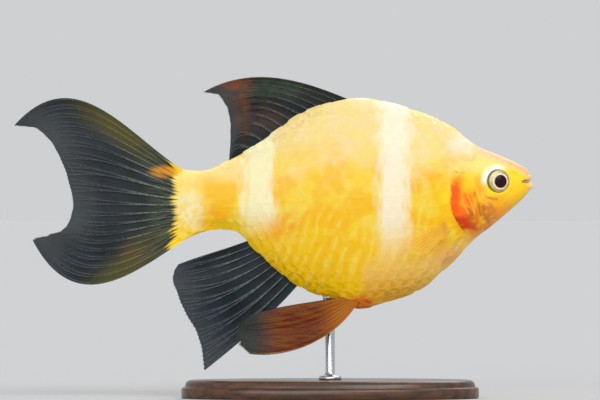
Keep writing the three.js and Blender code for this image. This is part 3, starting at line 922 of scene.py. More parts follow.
# %% One scale plate
PLATE_LENGTH = 2.9
PLATE_WIDTH = 3.15
PLATE_NARROWEST = 0.03  # the square of its least half width, as a share
PLATE_WIDEST = 0.42  # where along the plate it is widest
PLATE_ROUNDNESS = 2.4  # 2 would make its outline an ellipse
PLATE_BOW = 0.2  # how far its ends bow out, as a share of the length
PLATE_STRAIGHT = 0.86  # the rest of the length, without the bows
PLATE_ROOT = 0.85  # how much of the plate lies before its root, under the scale in front
PLATE_DIP = 0.05  # the front edge lies this far under the skin
PLATE_RISE = 0.022  # the free edge stands this high over the skin
PLATE_SINK = 0.14  # the closed underside lies this far under the skin
PLATE_TILT = 0.012  # one side is this much higher, so neighbours lie on each other like shingles
PLATE_STEPS = 6


def grid_rim(rows, columns):
    """The points round the border of a grid, in order."""
    rim = [row * columns for row in range(rows)]
    rim += [(rows - 1) * columns + k for k in range(1, columns)]
    rim += [row * columns + columns - 1 for row in range(rows - 2, -1, -1)]
    return rim + list(range(columns - 2, 0, -1))


def plate():
    """A rounded plate, closed below, and the height at which each of its points will lie."""
    run = np.linspace(0, 1, PLATE_STEPS + 1)
    points, lift = [], []
    for u in run:
        from_widest = abs(u - PLATE_WIDEST) / (1 - PLATE_WIDEST)
        half_wide = 0.5 * PLATE_WIDTH * math.sqrt(max(PLATE_NARROWEST, 1 - from_widest**PLATE_ROUNDNESS))
        for v in np.linspace(-1, 1, PLATE_STEPS + 1):
            bow = PLATE_BOW * PLATE_LENGTH * (1 - v * v) * (u - 0.5)
            points.append((PLATE_LENGTH * (u * PLATE_STRAIGHT) + bow - PLATE_ROOT, v * half_wide, 0.0))
            along = (points[-1][0] + PLATE_ROOT) / PLATE_LENGTH
            lift.append(-PLATE_DIP + (PLATE_RISE + PLATE_DIP) * along + PLATE_TILT * v)
    count = PLATE_STEPS + 1
    faces = [
        (i * count + j, (i + 1) * count + j, (i + 1) * count + j + 1, i * count + j + 1)
        for i in range(PLATE_STEPS)
        for j in range(PLATE_STEPS)
    ]
    rim = grid_rim(count, count)
    base = len(points)
    points += [points[k] for k in rim]
    lift += [-PLATE_SINK] * len(rim)
    for k in range(len(rim)):
        n = (k + 1) % len(rim)
        faces.append((rim[n], rim[k], base + k, base + n))
    faces.append(tuple(base + k for k in range(len(rim))))
    return np.array(points), lift, faces


plate_points, plate_lift, plate_faces = plate()
plate_mesh = bpy.data.meshes.new("scale_plate")
plate_mesh.from_pydata((plate_points * MM).tolist(), [], plate_faces)
plate_mesh.shade_smooth()
plate_piece = put("scale_plate", plate_mesh)
keep(plate_mesh, "lift", np.array(plate_lift, np.float32) * MM)
keep(plate_mesh, "patch", plate_points / PLATE_WIDTH, "FLOAT_VECTOR")
print("one scale:", len(plate_faces), "faces")

# %% [markdown]
# A flat plate would leave the skin where the body is sharply rounded. So once the copies are real mesh, each
# point is drawn to the nearest place on the skin and then lifted along the skin's normal by the height
# that it brought from the plate. The plates wrap the body like wet paper, however the body curves.

# %% The node tree that lays the coat
PATCH_SIZE = 0.003  # each scale's share of the unwrapped coat
SIZE_SPREAD = 0.06  # how much larger or smaller than usual a scale can be
SCALE_SEED = 7
SHARP_ANGLE = 35  # degrees between faces that are shaded as an edge


class Laying:
    """Builds a Geometry Nodes tree: each call adds a node and fills the inputs that it names."""

    def __init__(self, name, inputs):
        self.tree = bpy.data.node_groups.new(name, "GeometryNodeTree")
        self.tree.interface.new_socket("Geometry", in_out="OUTPUT", socket_type="NodeSocketGeometry")
        self.sockets = {}
        for label, kind in inputs.items():
            made = self.tree.interface.new_socket(label, in_out="INPUT", socket_type="NodeSocket" + kind)
            self.sockets[label] = made.identifier
        self.given = self.tree.nodes.new("NodeGroupInput").outputs

    def add(self, kind, settings=None, **inputs):
        node = self.tree.nodes.new(kind)
        for key, value in (settings or {}).items():
            setattr(node, key, value)
        for name, value in inputs.items():
            wanted = name.replace("_", " ")
            socket = [s for s in node.inputs if s.name == wanted and s.enabled][0]
            if isinstance(value, bpy.types.NodeSocket):
                self.tree.links.new(value, socket)
            else:
                socket.default_value = value
        return [s for s in node.outputs if s.enabled]

    def named(self, name, kind):
        return self.add("GeometryNodeInputNamedAttribute", {"data_type": kind}, Name=name)[0]

    def combine(self, kind, operation, first, second):
        """A math node, whose two inputs share one name and are filled in order."""
        node = self.tree.nodes.new(kind)
        node.operation = operation
        self.tree.links.new(first, node.inputs[0])
        self.tree.links.new(second, node.inputs[1])
        return node.outputs[0]


def coat_tree():
    lay = Laying("coat_of_scales", {
        "Geometry": "Geometry", "Plate": "Object", "Skin": "Object", "Smallest": "Float", "Largest": "Float",
        "Patch size": "Float", "Seed": "Int", "Finish": "Material",
    })
    given = lay.given
    plate_shape = lay.add("GeometryNodeObjectInfo", Object=given["Plate"])[-1]
    skin_shape = lay.add("GeometryNodeObjectInfo", Object=given["Skin"])[-1]
    turn = lay.add(
        "FunctionNodeAxesToRotation", {"primary_axis": "Z", "secondary_axis": "X"},
        Primary_Axis=lay.named("outward", "FLOAT_VECTOR"), Secondary_Axis=lay.named("lie", "FLOAT_VECTOR"),
    )[0]
    size = lay.add(
        "FunctionNodeRandomValue", {"data_type": "FLOAT"},
        Min=given["Smallest"], Max=given["Largest"], Seed=given["Seed"],
    )[0]
    size = lay.combine("ShaderNodeMath", "MULTIPLY", size, lay.named("plate_size", "FLOAT"))
    copies = lay.add(
        "GeometryNodeInstanceOnPoints",
        Points=given["Geometry"], Instance=plate_shape, Rotation=turn, Scale=size,
    )[0]
    real = lay.add("GeometryNodeRealizeInstances", Geometry=copies)[0]
    nearest = lay.add("GeometryNodeProximity", {"target_element": "FACES"}, Geometry=skin_shape)[0]
    normal = lay.add(
        "GeometryNodeSampleNearestSurface", {"data_type": "FLOAT_VECTOR"},
        Mesh=skin_shape, Value=lay.add("GeometryNodeInputNormal")[0],
    )[0]
    lift = lay.named("lift", "FLOAT")
    lifted = lay.add("ShaderNodeVectorMath", {"operation": "SCALE"}, Vector=normal, Scale=lift)[0]
    place = lay.combine("ShaderNodeVectorMath", "ADD", nearest, lifted)
    laid = lay.add("GeometryNodeSetPosition", Geometry=real, Position=place)[0]
    patch = lay.add(
        "ShaderNodeVectorMath", {"operation": "SCALE"},
        Vector=lay.named("patch", "FLOAT_VECTOR"), Scale=given["Patch size"],
    )[0]
    on_map = lay.combine("ShaderNodeVectorMath", "ADD", lay.named("map_place", "FLOAT_VECTOR"), patch)
    mapped = lay.add(
        "GeometryNodeStoreNamedAttribute", {"data_type": "FLOAT2", "domain": "CORNER"},
        Geometry=laid, Name="OFBake", Value=on_map,
    )[0]
    done = lay.add("GeometryNodeSetMaterial", Geometry=mapped, Material=given["Finish"])[0]
    lay.tree.links.new(done, lay.tree.nodes.new("NodeGroupOutput").inputs[0])
    return lay


coat = coat_tree()
print("nodes in the coat's tree:", len(coat.tree.nodes))

# %% Lay the coat and keep it as a plain mesh
modifier = lattice.modifiers.new("coat", "NODES")
modifier.node_group = coat.tree
for label, value in (
    ("Plate", plate_piece), ("Skin", skin), ("Smallest", 1 - SIZE_SPREAD), ("Largest", 1 + SIZE_SPREAD),
    ("Patch size", PATCH_SIZE), ("Seed", SCALE_SEED), ("Finish", golden_skin),
):
    modifier[coat.sockets[label]] = value
laid_coat = lattice.evaluated_get(bpy.context.evaluated_depsgraph_get())
coat_mesh = bpy.data.meshes.new_from_object(laid_coat)
coat_mesh.set_sharp_from_angle(angle=math.radians(SHARP_ANGLE))
scales = put("scales", coat_mesh)
for helper in (lattice, plate_piece):
    bpy.data.objects.remove(helper)
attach(scales, "root")
print("coat:", len(scales.data.polygons), "faces, maps:", [m.name for m in scales.data.uv_layers])

# %% [markdown]
# ## Fins
# A fin is a thin web stretched over soft rays. Each ray leaves the body single and forks twice on its way
# to the margin, so the margin is a comb of fine tips. Four drawn rows, from root to margin, give the fin's
# shape, as they do in the solids. Web and rays are one closed sheet, with the rays raised in its surface:
# separate sticks laid on a web would show where they end.

# %% The fins' drawn rows, in the fish's millimetres
CAUDAL_ROWS = [
    [(0.9, 3.9), (1.2, 2.0), (1.3, -0.8), (1.4, -3.5), (1.6, -5.0)],
    [(-7.2, 8.9), (-6.6, 6.9), (-6.1, 4.0), (-5.6, -0.7), (-5.8, -3.7), (-5.8, -6.6), (-5.6, -9.6)],
    [(-14.8, 20.5), (-13.4, 13.0), (-11.6, 6.8), (-10.6, -0.4), (-11.3, -6.1), (-12.7, -11.6),
     (-14.7, -17.8)],
    [(-23.6, 10.4), (-20.1, 9.9), (-17.2, 6.4), (-15.2, 0.0), (-16.1, -3.7), (-18.4, -4.8), (-20.9, -5.4)],
]
DORSAL_ROWS = [
    [(24.3, 14.0), (20.6, 12.9), (16.7, 11.4), (13.0, 8.9), (8.6, 5.9)],
    [(18.6, 16.4), (16.4, 15.2), (13.4, 13.4), (10.8, 10.8), (8.0, 6.0)],
    [(10.6, 19.6), (11.0, 16.9), (10.4, 14.6), (9.0, 11.3), (7.4, 5.6)],
    [(3.1, 15.1), (5.4, 14.7), (6.8, 12.3), (7.1, 9.2), (6.9, 5.2)],
]
ANAL_ROWS = [
    [(17.0, -11.6), (14.9, -10.1), (13.2, -8.6), (11.5, -7.1), (9.9, -5.6)],
    [(13.6, -15.6), (11.3, -13.6), (9.2, -11.2), (7.8, -9.0), (6.9, -6.8)],
    [(9.4, -19.4), (7.4, -17.0), (5.4, -13.6), (3.4, -10.6), (2.7, -7.9)],
    [(3.3, -24.2), (2.7, -19.8), (0.6, -15.7), (-0.9, -12.0), (-1.0, -10.4), (-0.3, -9.1)],
]
PELVIC_ROWS = [
    [(25.4, -13.9), (24.6, -13.7), (23.9, -13.5)],
    [(22.6, -19.4), (21.4, -17.1), (19.6, -14.4)],
    [(15.4, -22.6), (15.2, -19.0), (15.2, -14.7)],
    [(9.5, -21.6), (8.0, -19.8), (7.9, -17.9), (9.8, -16.2)],
]
PECTORAL_ROWS = [
    [(38.3, -2.9), (38.5, -3.3), (38.5, -3.8)],
    [(36.4, -3.2), (36.5, -4.3), (36.9, -5.3)],
    [(34.2, -3.9), (34.2, -5.6), (35.4, -6.9)],
    [(32.5, -4.7), (31.5, -5.5), (31.5, -6.7), (32.4, -7.5), (33.6, -7.8), (34.7, -7.6)],
]
print("fins drawn: 7, from 5 sets of rows")

# %% A fin as one closed sheet with forked rays
COLUMNS_PER_RAY = 18
WEB_ROOT = 0.11  # half the web's thickness, in millimetres
WEB_TIP = 0.05
RAY_ROOT = 0.12  # how far a ray stands out of the web
RAY_TIP = 0.03
FIRST_FORK = 0.22  # where along the ray its two branches start to part
SECOND_FORK = 0.6
BRANCH_SPREAD = 0.25  # how far a branch has moved aside at the margin, in ray widths
TWIG_SPREAD = 0.125
RAY_WIDTH = 0.115
RAY_NARROWING = 0.06
FRAY_WAVES = ((0.3, 2.9, 0), (0.2, 5.3, 1))  # size, pace and start of the margin's uneven fraying
MARGIN_START = 0.96  # the sheet thins from here to its margin
MARGIN_THINNING = 0.75
ROW_SAMPLES = 1200


def ray_height(phase, t):
    """Height of the forked rays, where phase runs from -0.5 to 0.5 across each one."""
    first = BRANCH_SPREAD * np.clip((t - FIRST_FORK) / (1 - FIRST_FORK), 0, 1)
    second = TWIG_SPREAD * np.clip((t - SECOND_FORK) / (1 - SECOND_FORK), 0, 1)
    width = RAY_WIDTH - RAY_NARROWING * smoothstep(0.1, 0.8, t)
    crest = np.zeros_like(phase)
    for one in (-1, 1):
        for two in (-1, 1):
            centre = one * first + two * second
            away = np.abs((phase - centre + 0.5) % 1 - 0.5)
            crest = np.maximum(crest, swell(away, width))
    return crest


def fin_sheet(rows, rays, steps, sway, scallop):
    """The fin's middle sheet: its points, how far it sways, its half thickness, crests and rays."""
    share = np.linspace(0, 1, rays * COLUMNS_PER_RAY + 1)
    curves = [curve_through(row, ROW_SAMPLES + 1) for row in rows]
    at = np.round(share * ROW_SAMPLES).astype(int)
    a, b, c, d = [curve[at] for curve in curves]
    reach = np.linspace(0, 1, steps + 1)[:, None]
    ray = share * rays
    phase = (ray + 0.5) % 1 - 0.5
    uneven = 1 + sum(size * np.sin(pace * ray + start) for size, pace, start in FRAY_WAVES)
    tip_fray = 1 - scallop * (uneven - ray_height(phase[None, :], np.ones((1, 1))))
    t = reach * (1 - (1 - tip_fray) * reach**2)
    u = t[..., None]
    flat = a * (1 - u) ** 3 + 3 * b * u * (1 - u) ** 2 + 3 * c * u**2 * (1 - u) + d * u**3
    crest = ray_height(np.broadcast_to(phase, t.shape), np.broadcast_to(reach, t.shape))
    thick = WEB_ROOT + (WEB_TIP - WEB_ROOT) * t + (RAY_ROOT + (RAY_TIP - RAY_ROOT) * t) * crest
    thick = thick * (1 - MARGIN_THINNING * smoothstep(MARGIN_START, 1.0, reach))
    middle = sway(np.broadcast_to(share, t.shape), t)
    return flat, middle, thick, crest, t, np.broadcast_to(ray, t.shape)


def fin_piece(name, sheet):
    """Both faces of a fin, joined round its rim."""
    flat, middle, thick, crest, t, ray = sheet
    steps, columns = t.shape
    sides = [np.stack([flat[..., 0], middle + side * thick, flat[..., 1]], -1) for side in (-1, 1)]
    points = np.concatenate([sides[0].reshape(-1, 3), sides[1].reshape(-1, 3)])
    half_count = steps * columns
    i, j = np.meshgrid(np.arange(steps - 1), np.arange(columns - 1), indexing="ij")
    corner = (i * columns + j).ravel()
    right = np.stack([corner, corner + 1, corner + columns + 1, corner + columns], -1)
    left = right[:, ::-1] + half_count
    rim = grid_rim(steps, columns)
    walls = [(p, q, q + half_count, p + half_count) for p, q in zip(rim, rim[1:] + rim[:1])]
    piece = mesh_piece(name, points, right.tolist() + left.tolist() + walls)
    for label, values in (("ray_crest", crest), ("along_ray", t), ("ray_number", ray)):
        keep(piece.data, label, np.concatenate([values.ravel()] * 2))
    fix_normals(piece)
    return piece


def fix_normals(piece):
    """Turn every face of a closed piece outwards."""
    shape = bmesh.new()
    shape.from_mesh(piece.data)
    bmesh.ops.recalc_face_normals(shape, faces=shape.faces)
    shape.to_mesh(piece.data)
    shape.free()


print("rays fork at", FIRST_FORK, "and at", SECOND_FORK, "of their length")

# %% [markdown]
# ## What colours the fins
# The webs are smoky, with paler rays. The tail has olive along its upper and lower edges, the dorsal fin an
# orange patch near its tip, and the pelvic fins are amber with red streaks. A web lets a little light
# through by its alpha, more at its margin, and its rays hardly any, which draws them as pale lines.

# %% Fin finishes
MARGIN_SHARE = 0.82  # how much of a web's alpha is left at its margin


def fin_finish(name, paint, web_alpha, ray_alpha, root_end=0.16):
    """A web and its rays; its root is closed up to root_end of its length."""
    f = Finish(name)
    f.along = f.attribute("along_ray")
    web, ray = paint(f)
    grain = f.noise(1.0, 3.0, f.stretched(2.2, 1.0, 2.2))
    line = f.times(f.ramp(f.attribute("ray_crest"), 0.45, 1.0), f.ramp(grain, 0.3, 0.65, 0.3, 0.9))
    alpha = f.plus(f.times(line, ray_alpha - web_alpha), web_alpha)
    alpha = f.times(alpha, f.ramp(f.along, 0.6, 1.0, 1.0, MARGIN_SHARE))
    alpha = f.math("MAXIMUM", alpha, f.ramp(f.along, root_end, 0.3 * root_end))
    f.set(Base_Color=f.mix(line, web, ray), Alpha=alpha, Roughness=0.38, Specular_IOR_Level=0.18)
    f.bump(grain, 0.2, 0.00005)
    return f.material


def pale_first_ray(f, ray, strength, paint):
    """The first ray of a fin is its pale front edge."""
    return f.mix(f.times(f.ramp(f.attribute("ray_number"), 0.9, 0.2), strength), ray, paint)


def paint_caudal(f):
    """A slate web with olive edges and a brown patch, which takes over the body's gold at its root."""
    slate = f.mix(f.ramp(f.noise(0.3), 0.35, 0.65), colour(14, 21, 26), colour(22, 31, 36))
    upper = f.plus(f.z, f.times(f.x, 0.62))
    olive = f.times(f.ramp(upper, 1.0, 4.4), f.ramp(f.x, -18, -9))
    web = f.mix(f.times(olive, 0.8), slate, colour(82, 74, 20))
    lower = f.plus(f.minus(f.z, f.times(f.x, 0.75)), f.ragged(tail_streaks(f), 4.0))
    moss = f.times(f.ramp(lower, 0.4, -3.2), f.ramp(f.x, -17.0, -8.0))
    web = f.mix(f.times(moss, 0.75), web, colour(80, 76, 26))
    brown = [(-4.6, -7.2, 3.6, 2.2, 1.0, 0.5, colour(104, 66, 40))]
    web = paint_ovals(f, web, f.ramp(tail_streaks(f), 0.42, 0.58), brown)
    web = f.mix(f.ramp(f.along, 0.4, 0.12), web, fin_root_green(f))
    ray = f.mix(f.ramp(f.along, 0.62, 0.2), colour(64, 77, 84), colour(126, 134, 120))
    ray = f.mix(f.times(f.math("MAXIMUM", olive, moss), 0.7), ray, colour(116, 106, 44))
    return paint_fin_root(f, web), paint_fin_root(f, ray)


def paint_dorsal(f):
    """A nearly black web with orange, olive and maroon patches."""
    web = f.mix(f.ramp(f.noise(0.35), 0.35, 0.65), colour(10, 16, 17), colour(20, 30, 30))
    web = paint_ovals(f, web, f.ramp(f.noise(0.9, 3.0), 0.35, 0.6, 0.35, 1.0), (
        (7.7, 16.4, 2.2, 0.9, 1.2, 0.9, colour(122, 48, 4)),
        (8.9, 13.0, 1.1, 3.6, 1.2, 0.7, colour(96, 50, 16)),
        (13.4, 15.9, 4.4, 1.5, 1.2, 0.5, colour(48, 68, 28)),
        (12.2, 11.8, 2.4, 2.0, 1.2, 0.5, colour(74, 46, 34)),
    ))
    ray = f.mix(f.ramp(f.along, 0.8, 0.2), colour(62, 70, 72), colour(90, 88, 80))
    ray = paint_ovals(f, ray, 1.0, [(8.2, 15.4, 2.0, 2.6, 1.2, 0.7, colour(140, 74, 20))])
    return web, pale_first_ray(f, ray, 0.6, colour(150, 146, 124))


def paint_anal(f):
    """A blue-black web with cold rays."""
    web = f.mix(f.ramp(f.noise(0.35), 0.35, 0.65), colour(8, 15, 22), colour(18, 29, 38))
    ray = f.mix(f.ramp(f.along, 0.8, 0.2), colour(72, 88, 98), colour(104, 122, 116))
    return web, ray


def paint_pelvic(f):
    """An amber web with red streaks, golden at its root and grey at its margin."""
    streaks = f.noise(0.8, 3.0, f.stretched(0.35, 1, 2.6))
    web = f.mix(f.ramp(streaks, 0.35, 0.6), colour(116, 60, 6), colour(92, 34, 3))
    web = f.mix(f.times(f.ramp(streaks, 0.5, 0.7), 0.7), web, colour(102, 12, 2))
    web = f.mix(f.ramp(f.x, 18.5, 24.0, 0, 0.85), web, colour(184, 112, 22))
    web = f.mix(f.ramp(f.x, 14.2, 9.8), web, colour(40, 46, 44))
    ray = f.mix(f.ramp(f.x, 16.0, 10.4), colour(146, 80, 14), colour(80, 84, 78))
    return web, pale_first_ray(f, ray, 0.7, colour(214, 190, 140))


def paint_pectoral(f):
    """A clear web, faintly golden."""
    ray = f.mix(f.ramp(f.along, 0.9, 0.3), colour(250, 206, 100), colour(238, 150, 36))
    return colour(252, 208, 90), ray


caudal_finish = fin_finish("smoky_tail", paint_caudal, 0.92, 0.97)
dorsal_finish = fin_finish("smoky_dorsal", paint_dorsal, 0.92, 0.97)
anal_finish = fin_finish("smoky_anal", paint_anal, 0.92, 0.97)
pelvic_finish = fin_finish("amber_pelvic", paint_pelvic, 0.94, 0.98)
pectoral_finish = fin_finish("clear_pectoral", paint_pectoral, 0.14, 0.5, root_end=0.26)
print("fin finishes: 5")

# %% [markdown]
# No fin of a swimming fish is flat. Each sways by a small function of s, from its first ray to its last, and
# t, from root to margin: the tail's lobes bend to opposite sides, and the webs ripple a little between rays.

# %% Tail, dorsal and anal fins
def caudal_sway(s, t):
    return t**2 * (1.5 * np.cos(np.pi * s) + 0.35 * np.sin(5 * np.pi * s) * t)


def dorsal_sway(s, t):
    return -0.9 * t**2 * (1 - s) + 0.25 * t * np.sin(4 * np.pi * s)


def anal_sway(s, t):
    return 0.8 * t**2 * (1 - s) + 0.25 * t * np.sin(3 * np.pi * s)


caudal_sheet = fin_sheet(CAUDAL_ROWS, rays=18, steps=84, sway=caudal_sway, scallop=0.006)
dorsal_sheet = fin_sheet(DORSAL_ROWS, rays=11, steps=64, sway=dorsal_sway, scallop=0.01)
anal_sheet = fin_sheet(ANAL_ROWS, rays=9, steps=70, sway=anal_sway, scallop=0.008)
tail_fin = fin_piece("tail_fin", caudal_sheet)
dress(tail_fin, caudal_finish, "smoky_fin", "caudal_fin_upper", "caudal_fin_lower")
dorsal_fin = fin_piece("dorsal_fin_web", dorsal_sheet)
dress(dorsal_fin, dorsal_finish, "smoky_fin", "dorsal_fin")
anal_fin = fin_piece("anal_fin_web", anal_sheet)
dress(anal_fin, anal_finish, "smoky_fin", "anal_fin")

# %% Paired fins: pelvic and pectoral
SIDES = (("right", -1), ("left", 1))
PELVIC_ROOT = 1.9  # from the fish's middle to the fin's root, and how far its margin stands beyond
PELVIC_SPREAD = 2.1
PECTORAL_SINK = 0.6  # the root starts inside the flank, lifts off it and spreads
PECTORAL_LIFT = 1.5
PECTORAL_SPREAD = 1.9


def flank_half(x, z):
    """Half breadth of the body at a place on its side."""
    reach = back(x) - level(x) if z > level(x) else level(x) - belly(x)
    return float(half(x) * math.sqrt(max(0.0, 1 - ((z - level(x)) / reach) ** 2)))


pectoral_root = flank_half(*PECTORAL_ROWS[0][1]) - PECTORAL_SINK


def pelvic_sway(side):
    return lambda s, t: side * (
        PELVIC_ROOT + PELVIC_SPREAD * t * (1 - 0.3 * s) + 0.2 * np.sin(3 * np.pi * s) * t
    )


def pectoral_sway(side):
    return lambda s, t: side * (pectoral_root + PECTORAL_LIFT * smoothstep(0, 0.35, t) + PECTORAL_SPREAD * t)


for side_name, side in SIDES:
    pelvic_sheet = fin_sheet(PELVIC_ROWS, rays=8, steps=60, sway=pelvic_sway(side), scallop=0.02)
    pelvic = fin_piece("pelvic_web_" + side_name, pelvic_sheet)
    dress(pelvic, pelvic_finish, "orange_fin", "pelvic_fin_" + side_name)
    pectoral_sheet = fin_sheet(PECTORAL_ROWS, rays=9, steps=30, sway=pectoral_sway(side), scallop=0.015)
    pectoral = fin_piece("pectoral_web_" + side_name, pectoral_sheet)
    dress(pectoral, pectoral_finish, "clear_fin", "pectoral_fin_" + side_name)

# %% [markdown]
# ## Eyes
# The eye is a slightly flattened ball, turned a little forwards with the cheek. Its colours are rings: a
# dark maroon pupil, a bright pinkish rim, an olive iris whitened above and behind by a painted reflection,
# and a dark edge. Each point of the mesh remembers its distance from the eye's own axis, and the finish
# reads that, so both eyes share it.

# %% Eyeballs with an iris
EYE_BULGE = 1.2  # half the ball's depth along its own axis
EYE_SINK = 0.42  # its middle lies this far inside the flank
EYE_TILT = 0.36  # radians that it turns forwards
EYE_RINGS = 48
EYE_AROUND = 72
PUPIL = 0.93  # the outer radius of the pupil, and of the pale rim round it
PALE_RIM = 1.16
IRIS_DIP = 0.05  # a shallow ring-shaped dip in the iris
IRIS_DIP_RADIUS = 1.35
IRIS_DIP_REACH = 0.25


def eyeball(side_name, side):
    """A flattened ball whose points know their distance from its axis."""
    swing = np.linspace(0, np.pi, EYE_RINGS + 1)[1:-1]
    around = np.arange(EYE_AROUND) / EYE_AROUND * 2 * np.pi
    off_axis = EYE_RADIUS * np.sin(swing)[:, None] * np.ones(EYE_AROUND)
    depth = EYE_BULGE * np.cos(swing)[:, None] * np.ones(EYE_AROUND)
    depth = depth - IRIS_DIP * swell(off_axis - IRIS_DIP_RADIUS, IRIS_DIP_REACH) * (depth > 0)
    local = np.stack([off_axis * np.cos(around), depth, off_axis * np.sin(around)], -1)
    poles = np.array([[0, EYE_BULGE, 0], [0, -EYE_BULGE, 0]])
    centre = np.array([EYE[0], side * (flank_half(*EYE) - EYE_SINK), EYE[1]])

    def placed(points):
        x, y, z = np.moveaxis(points, -1, 0)
        moved = np.stack([
            x * math.cos(EYE_TILT) + y * math.sin(EYE_TILT),
            side * (y * math.cos(EYE_TILT) - x * math.sin(EYE_TILT)),
            z,
        ], -1)
        return moved + centre

    points, faces = closed_grid(placed(local), *placed(poles))
    ball = mesh_piece("eyeball_" + side_name, points, faces)
    keep(ball.data, "iris_ring", np.concatenate([off_axis.ravel(), [0, 0]]))
    fix_normals(ball)
    return ball


def eye_finish():
    f = Finish("wet_eye")
    ring = f.attribute("iris_ring")
    fibres = f.noise(2.2, 3.0)
    reflection_side = f.minus(f.minus(f.z, EYE[1]), f.minus(f.x, EYE[0]))
    iris = f.mix(f.ramp(fibres, 0.35, 0.65), colour(170, 156, 62), colour(204, 192, 118))
    # Painted reflection: the iris is whitened on its upper rear side.
    iris = f.mix(f.ramp(reflection_side, 0.6, 1.9, 0, 0.75), iris, colour(240, 238, 204))
    iris = f.mix(f.ramp(f.z, 1.8, 1.0, 0, 0.8), iris, colour(206, 160, 120))
    iris = f.mix(f.ramp(ring, 1.42, 1.62), iris, colour(120, 104, 46))
    pale = f.mix(f.ramp(fibres, 0.4, 0.7), colour(250, 232, 208), colour(226, 190, 176))
    eye = f.mix(f.ramp(ring, PALE_RIM - 0.06, PALE_RIM + 0.06), pale, iris)
    eye = f.mix(f.ramp(ring, PUPIL + 0.04, PUPIL - 0.04), eye, colour(40, 8, 10))
    f.set(Base_Color=eye, Roughness=0.3, Specular_IOR_Level=0.12, Coat_Weight=0.15, Coat_Roughness=0.04)
    return f.material


wet_eye = eye_finish()
for side_name, side in SIDES:
    dress(eyeball(side_name, side), wet_eye, "eye", "eye_" + side_name)

# %% [markdown]
# ## Display stand
# The stand is plain: an oval of dark wood with a moulded edge, and one steel rod. Each is a short profile
# carried round an oval or a circle, so both come from one function, which lofts them as the fish is lofted.

# %% Oval base
base_low, base_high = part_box("stand_base")
BASE_PROFILE = [
    (0.9, 0.0), (0.35, 0.0), (0.12, 0.06), (0.0, 0.22), (0.0, 1.25), (0.06, 1.45), (0.22, 1.55), (0.42, 1.58),
    (0.5, 1.66), (0.52, 1.8), (0.6, 2.1), (0.78, 2.36), (1.05, 2.53), (1.4, 2.6), (2.4, 2.6),
]  # inset from the oval's edge, and height


def turned_piece(name, profile, around):
    """A closed piece from the half length, half breadth and height of each ring, on the frame's floor."""
    turn = np.arange(around) / around * 2 * np.pi
    rings = np.array([
        np.stack([long * np.cos(turn), wide * np.sin(turn), 0 * turn + height], -1) - FISH_ORIGIN / MM
        for long, wide, height in profile
    ])
    piece = mesh_piece(name, *closed_grid(rings, rings[0].mean(0), rings[-1].mean(0)))
    fix_normals(piece)
    return piece


half_x = (base_high.x - base_low.x) / 2 / MM
half_y = (base_high.y - base_low.y) / 2 / MM
base_rings = [(half_x - inset, half_y - inset, height) for inset, height in BASE_PROFILE]
stand_base = turned_piece("base_wood", base_rings, around=200)
print("base in mm:", round(2 * half_x, 1), "by", round(2 * half_y, 1))

# %% Rod with a collar at its foot and a small cup under the belly
ROD_PROFILE = [
    (1.5, 0.0), (1.62, 0.1), (1.62, 0.42), (1.5, 0.55), (1.0, 0.62), (0.78, 0.8), (0.66, 1.1), (0.66, 9.6),
    (0.72, 9.9), (0.95, 10.3), (1.15, 10.75), (1.1, 10.85),
]  # radius, and height above the base
ROD_TOP = 10.7  # this height of the drawn rod is stretched to reach the belly
COLLAR_HEIGHT = 1.2  # the collar below this isn't stretched
INTO_BELLY = 0.25
rod_foot = base_high.z / MM
rod_stretch = ((rod_high.z - base_high.z) / MM + INTO_BELLY) / ROD_TOP
rod_rings = [
    (radius, radius, rod_foot + (height * rod_stretch if height > COLLAR_HEIGHT else height))
    for radius, height in ROD_PROFILE
]
stand_rod = turned_piece("rod_steel", rod_rings, around=48)
print("rod's top:", round(rod_rings[-1][-1], 1), "mm above the floor")

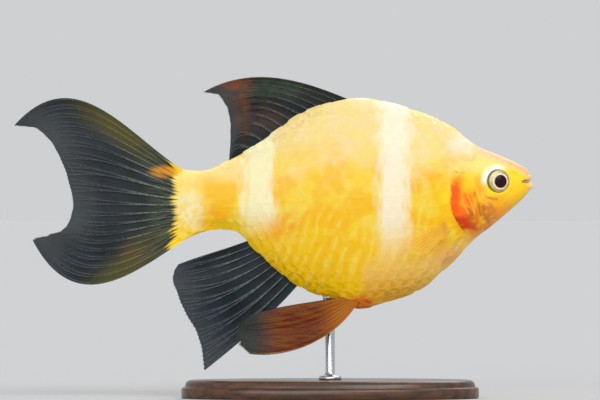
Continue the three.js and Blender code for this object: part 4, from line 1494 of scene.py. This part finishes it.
# %% Wood and steel
def wood_finish():
    f = Finish("dark_wood")
    warping = f.node("ShaderNodeTexNoise", f.place).outputs[1]
    warped = f.node("ShaderNodeVectorMath", f.stretched(0.12, 0.9, 0.9), warping)
    grain = f.noise(1.3, 5.0, warped.outputs[0], 0.62)
    pores = f.noise(2.4, 3.0, f.stretched(0.3, 4.0, 4.0))
    wood = f.mix(f.ramp(grain, 0.32, 0.68), colour(46, 26, 14), colour(96, 58, 32))
    wood = f.mix(f.ramp(pores, 0.58, 0.68, 0, 0.6), wood, colour(26, 14, 8))
    f.set(Base_Color=wood, Roughness=f.ramp(grain, 0.3, 0.7, 0.42, 0.3))
    f.set(Coat_Weight=0.3, Coat_Roughness=0.22)
    f.bump(pores, 0.15, 0.00008)
    return f.material


def steel_finish():
    f = Finish("brushed_rod")
    lines = f.noise(1.0, 4.0, f.stretched(0.08, 0.08, 9.0))
    f.set(Base_Color=f.mix(lines, colour(176, 178, 182), colour(214, 215, 218)), Metallic=1.0)
    f.set(Roughness=f.ramp(lines, 0.3, 0.7, 0.2, 0.34))
    f.bump(lines, 0.05, 0.00002)
    return f.material


dress(stand_base, wood_finish(), "stand_wood", "stand_base")
dress(stand_rod, steel_finish(), "stand_steel", "stand_rod")

# %% [markdown]
# ## Floor
# The floor is a wide pale disc. A matt floor of albedo a shines with a (sun + pi world) / pi, so one albedo
# makes it exactly as bright as the world behind it, and no horizon is seen behind the fish.

# %% Pale floor
FLOOR_RADIUS = 8.0
floor_grey = [math.pi * grey / (math.pi * grey + light_on_floor) for grey in WORLD_GREY[:3]]
floor_shape = bmesh.new()
bmesh.ops.create_circle(floor_shape, cap_ends=True, segments=96, radius=FLOOR_RADIUS)
floor_mesh = bpy.data.meshes.new("floor")
floor_shape.to_mesh(floor_mesh)
floor_shape.free()
floor = put("floor", floor_mesh)
floor_paint = bpy.data.materials.new("pale_floor")
floor_paint.use_nodes = True
floor_shader = floor_paint.node_tree.nodes["Principled BSDF"]
floor_shader.inputs["Base Color"].default_value = (*floor_grey, 1)
floor_shader.inputs["Roughness"].default_value = 1.0
floor_shader.inputs["Specular IOR Level"].default_value = 0.0
floor.data.materials.append(floor_paint)
print("floor radius:", FLOOR_RADIUS, "m")
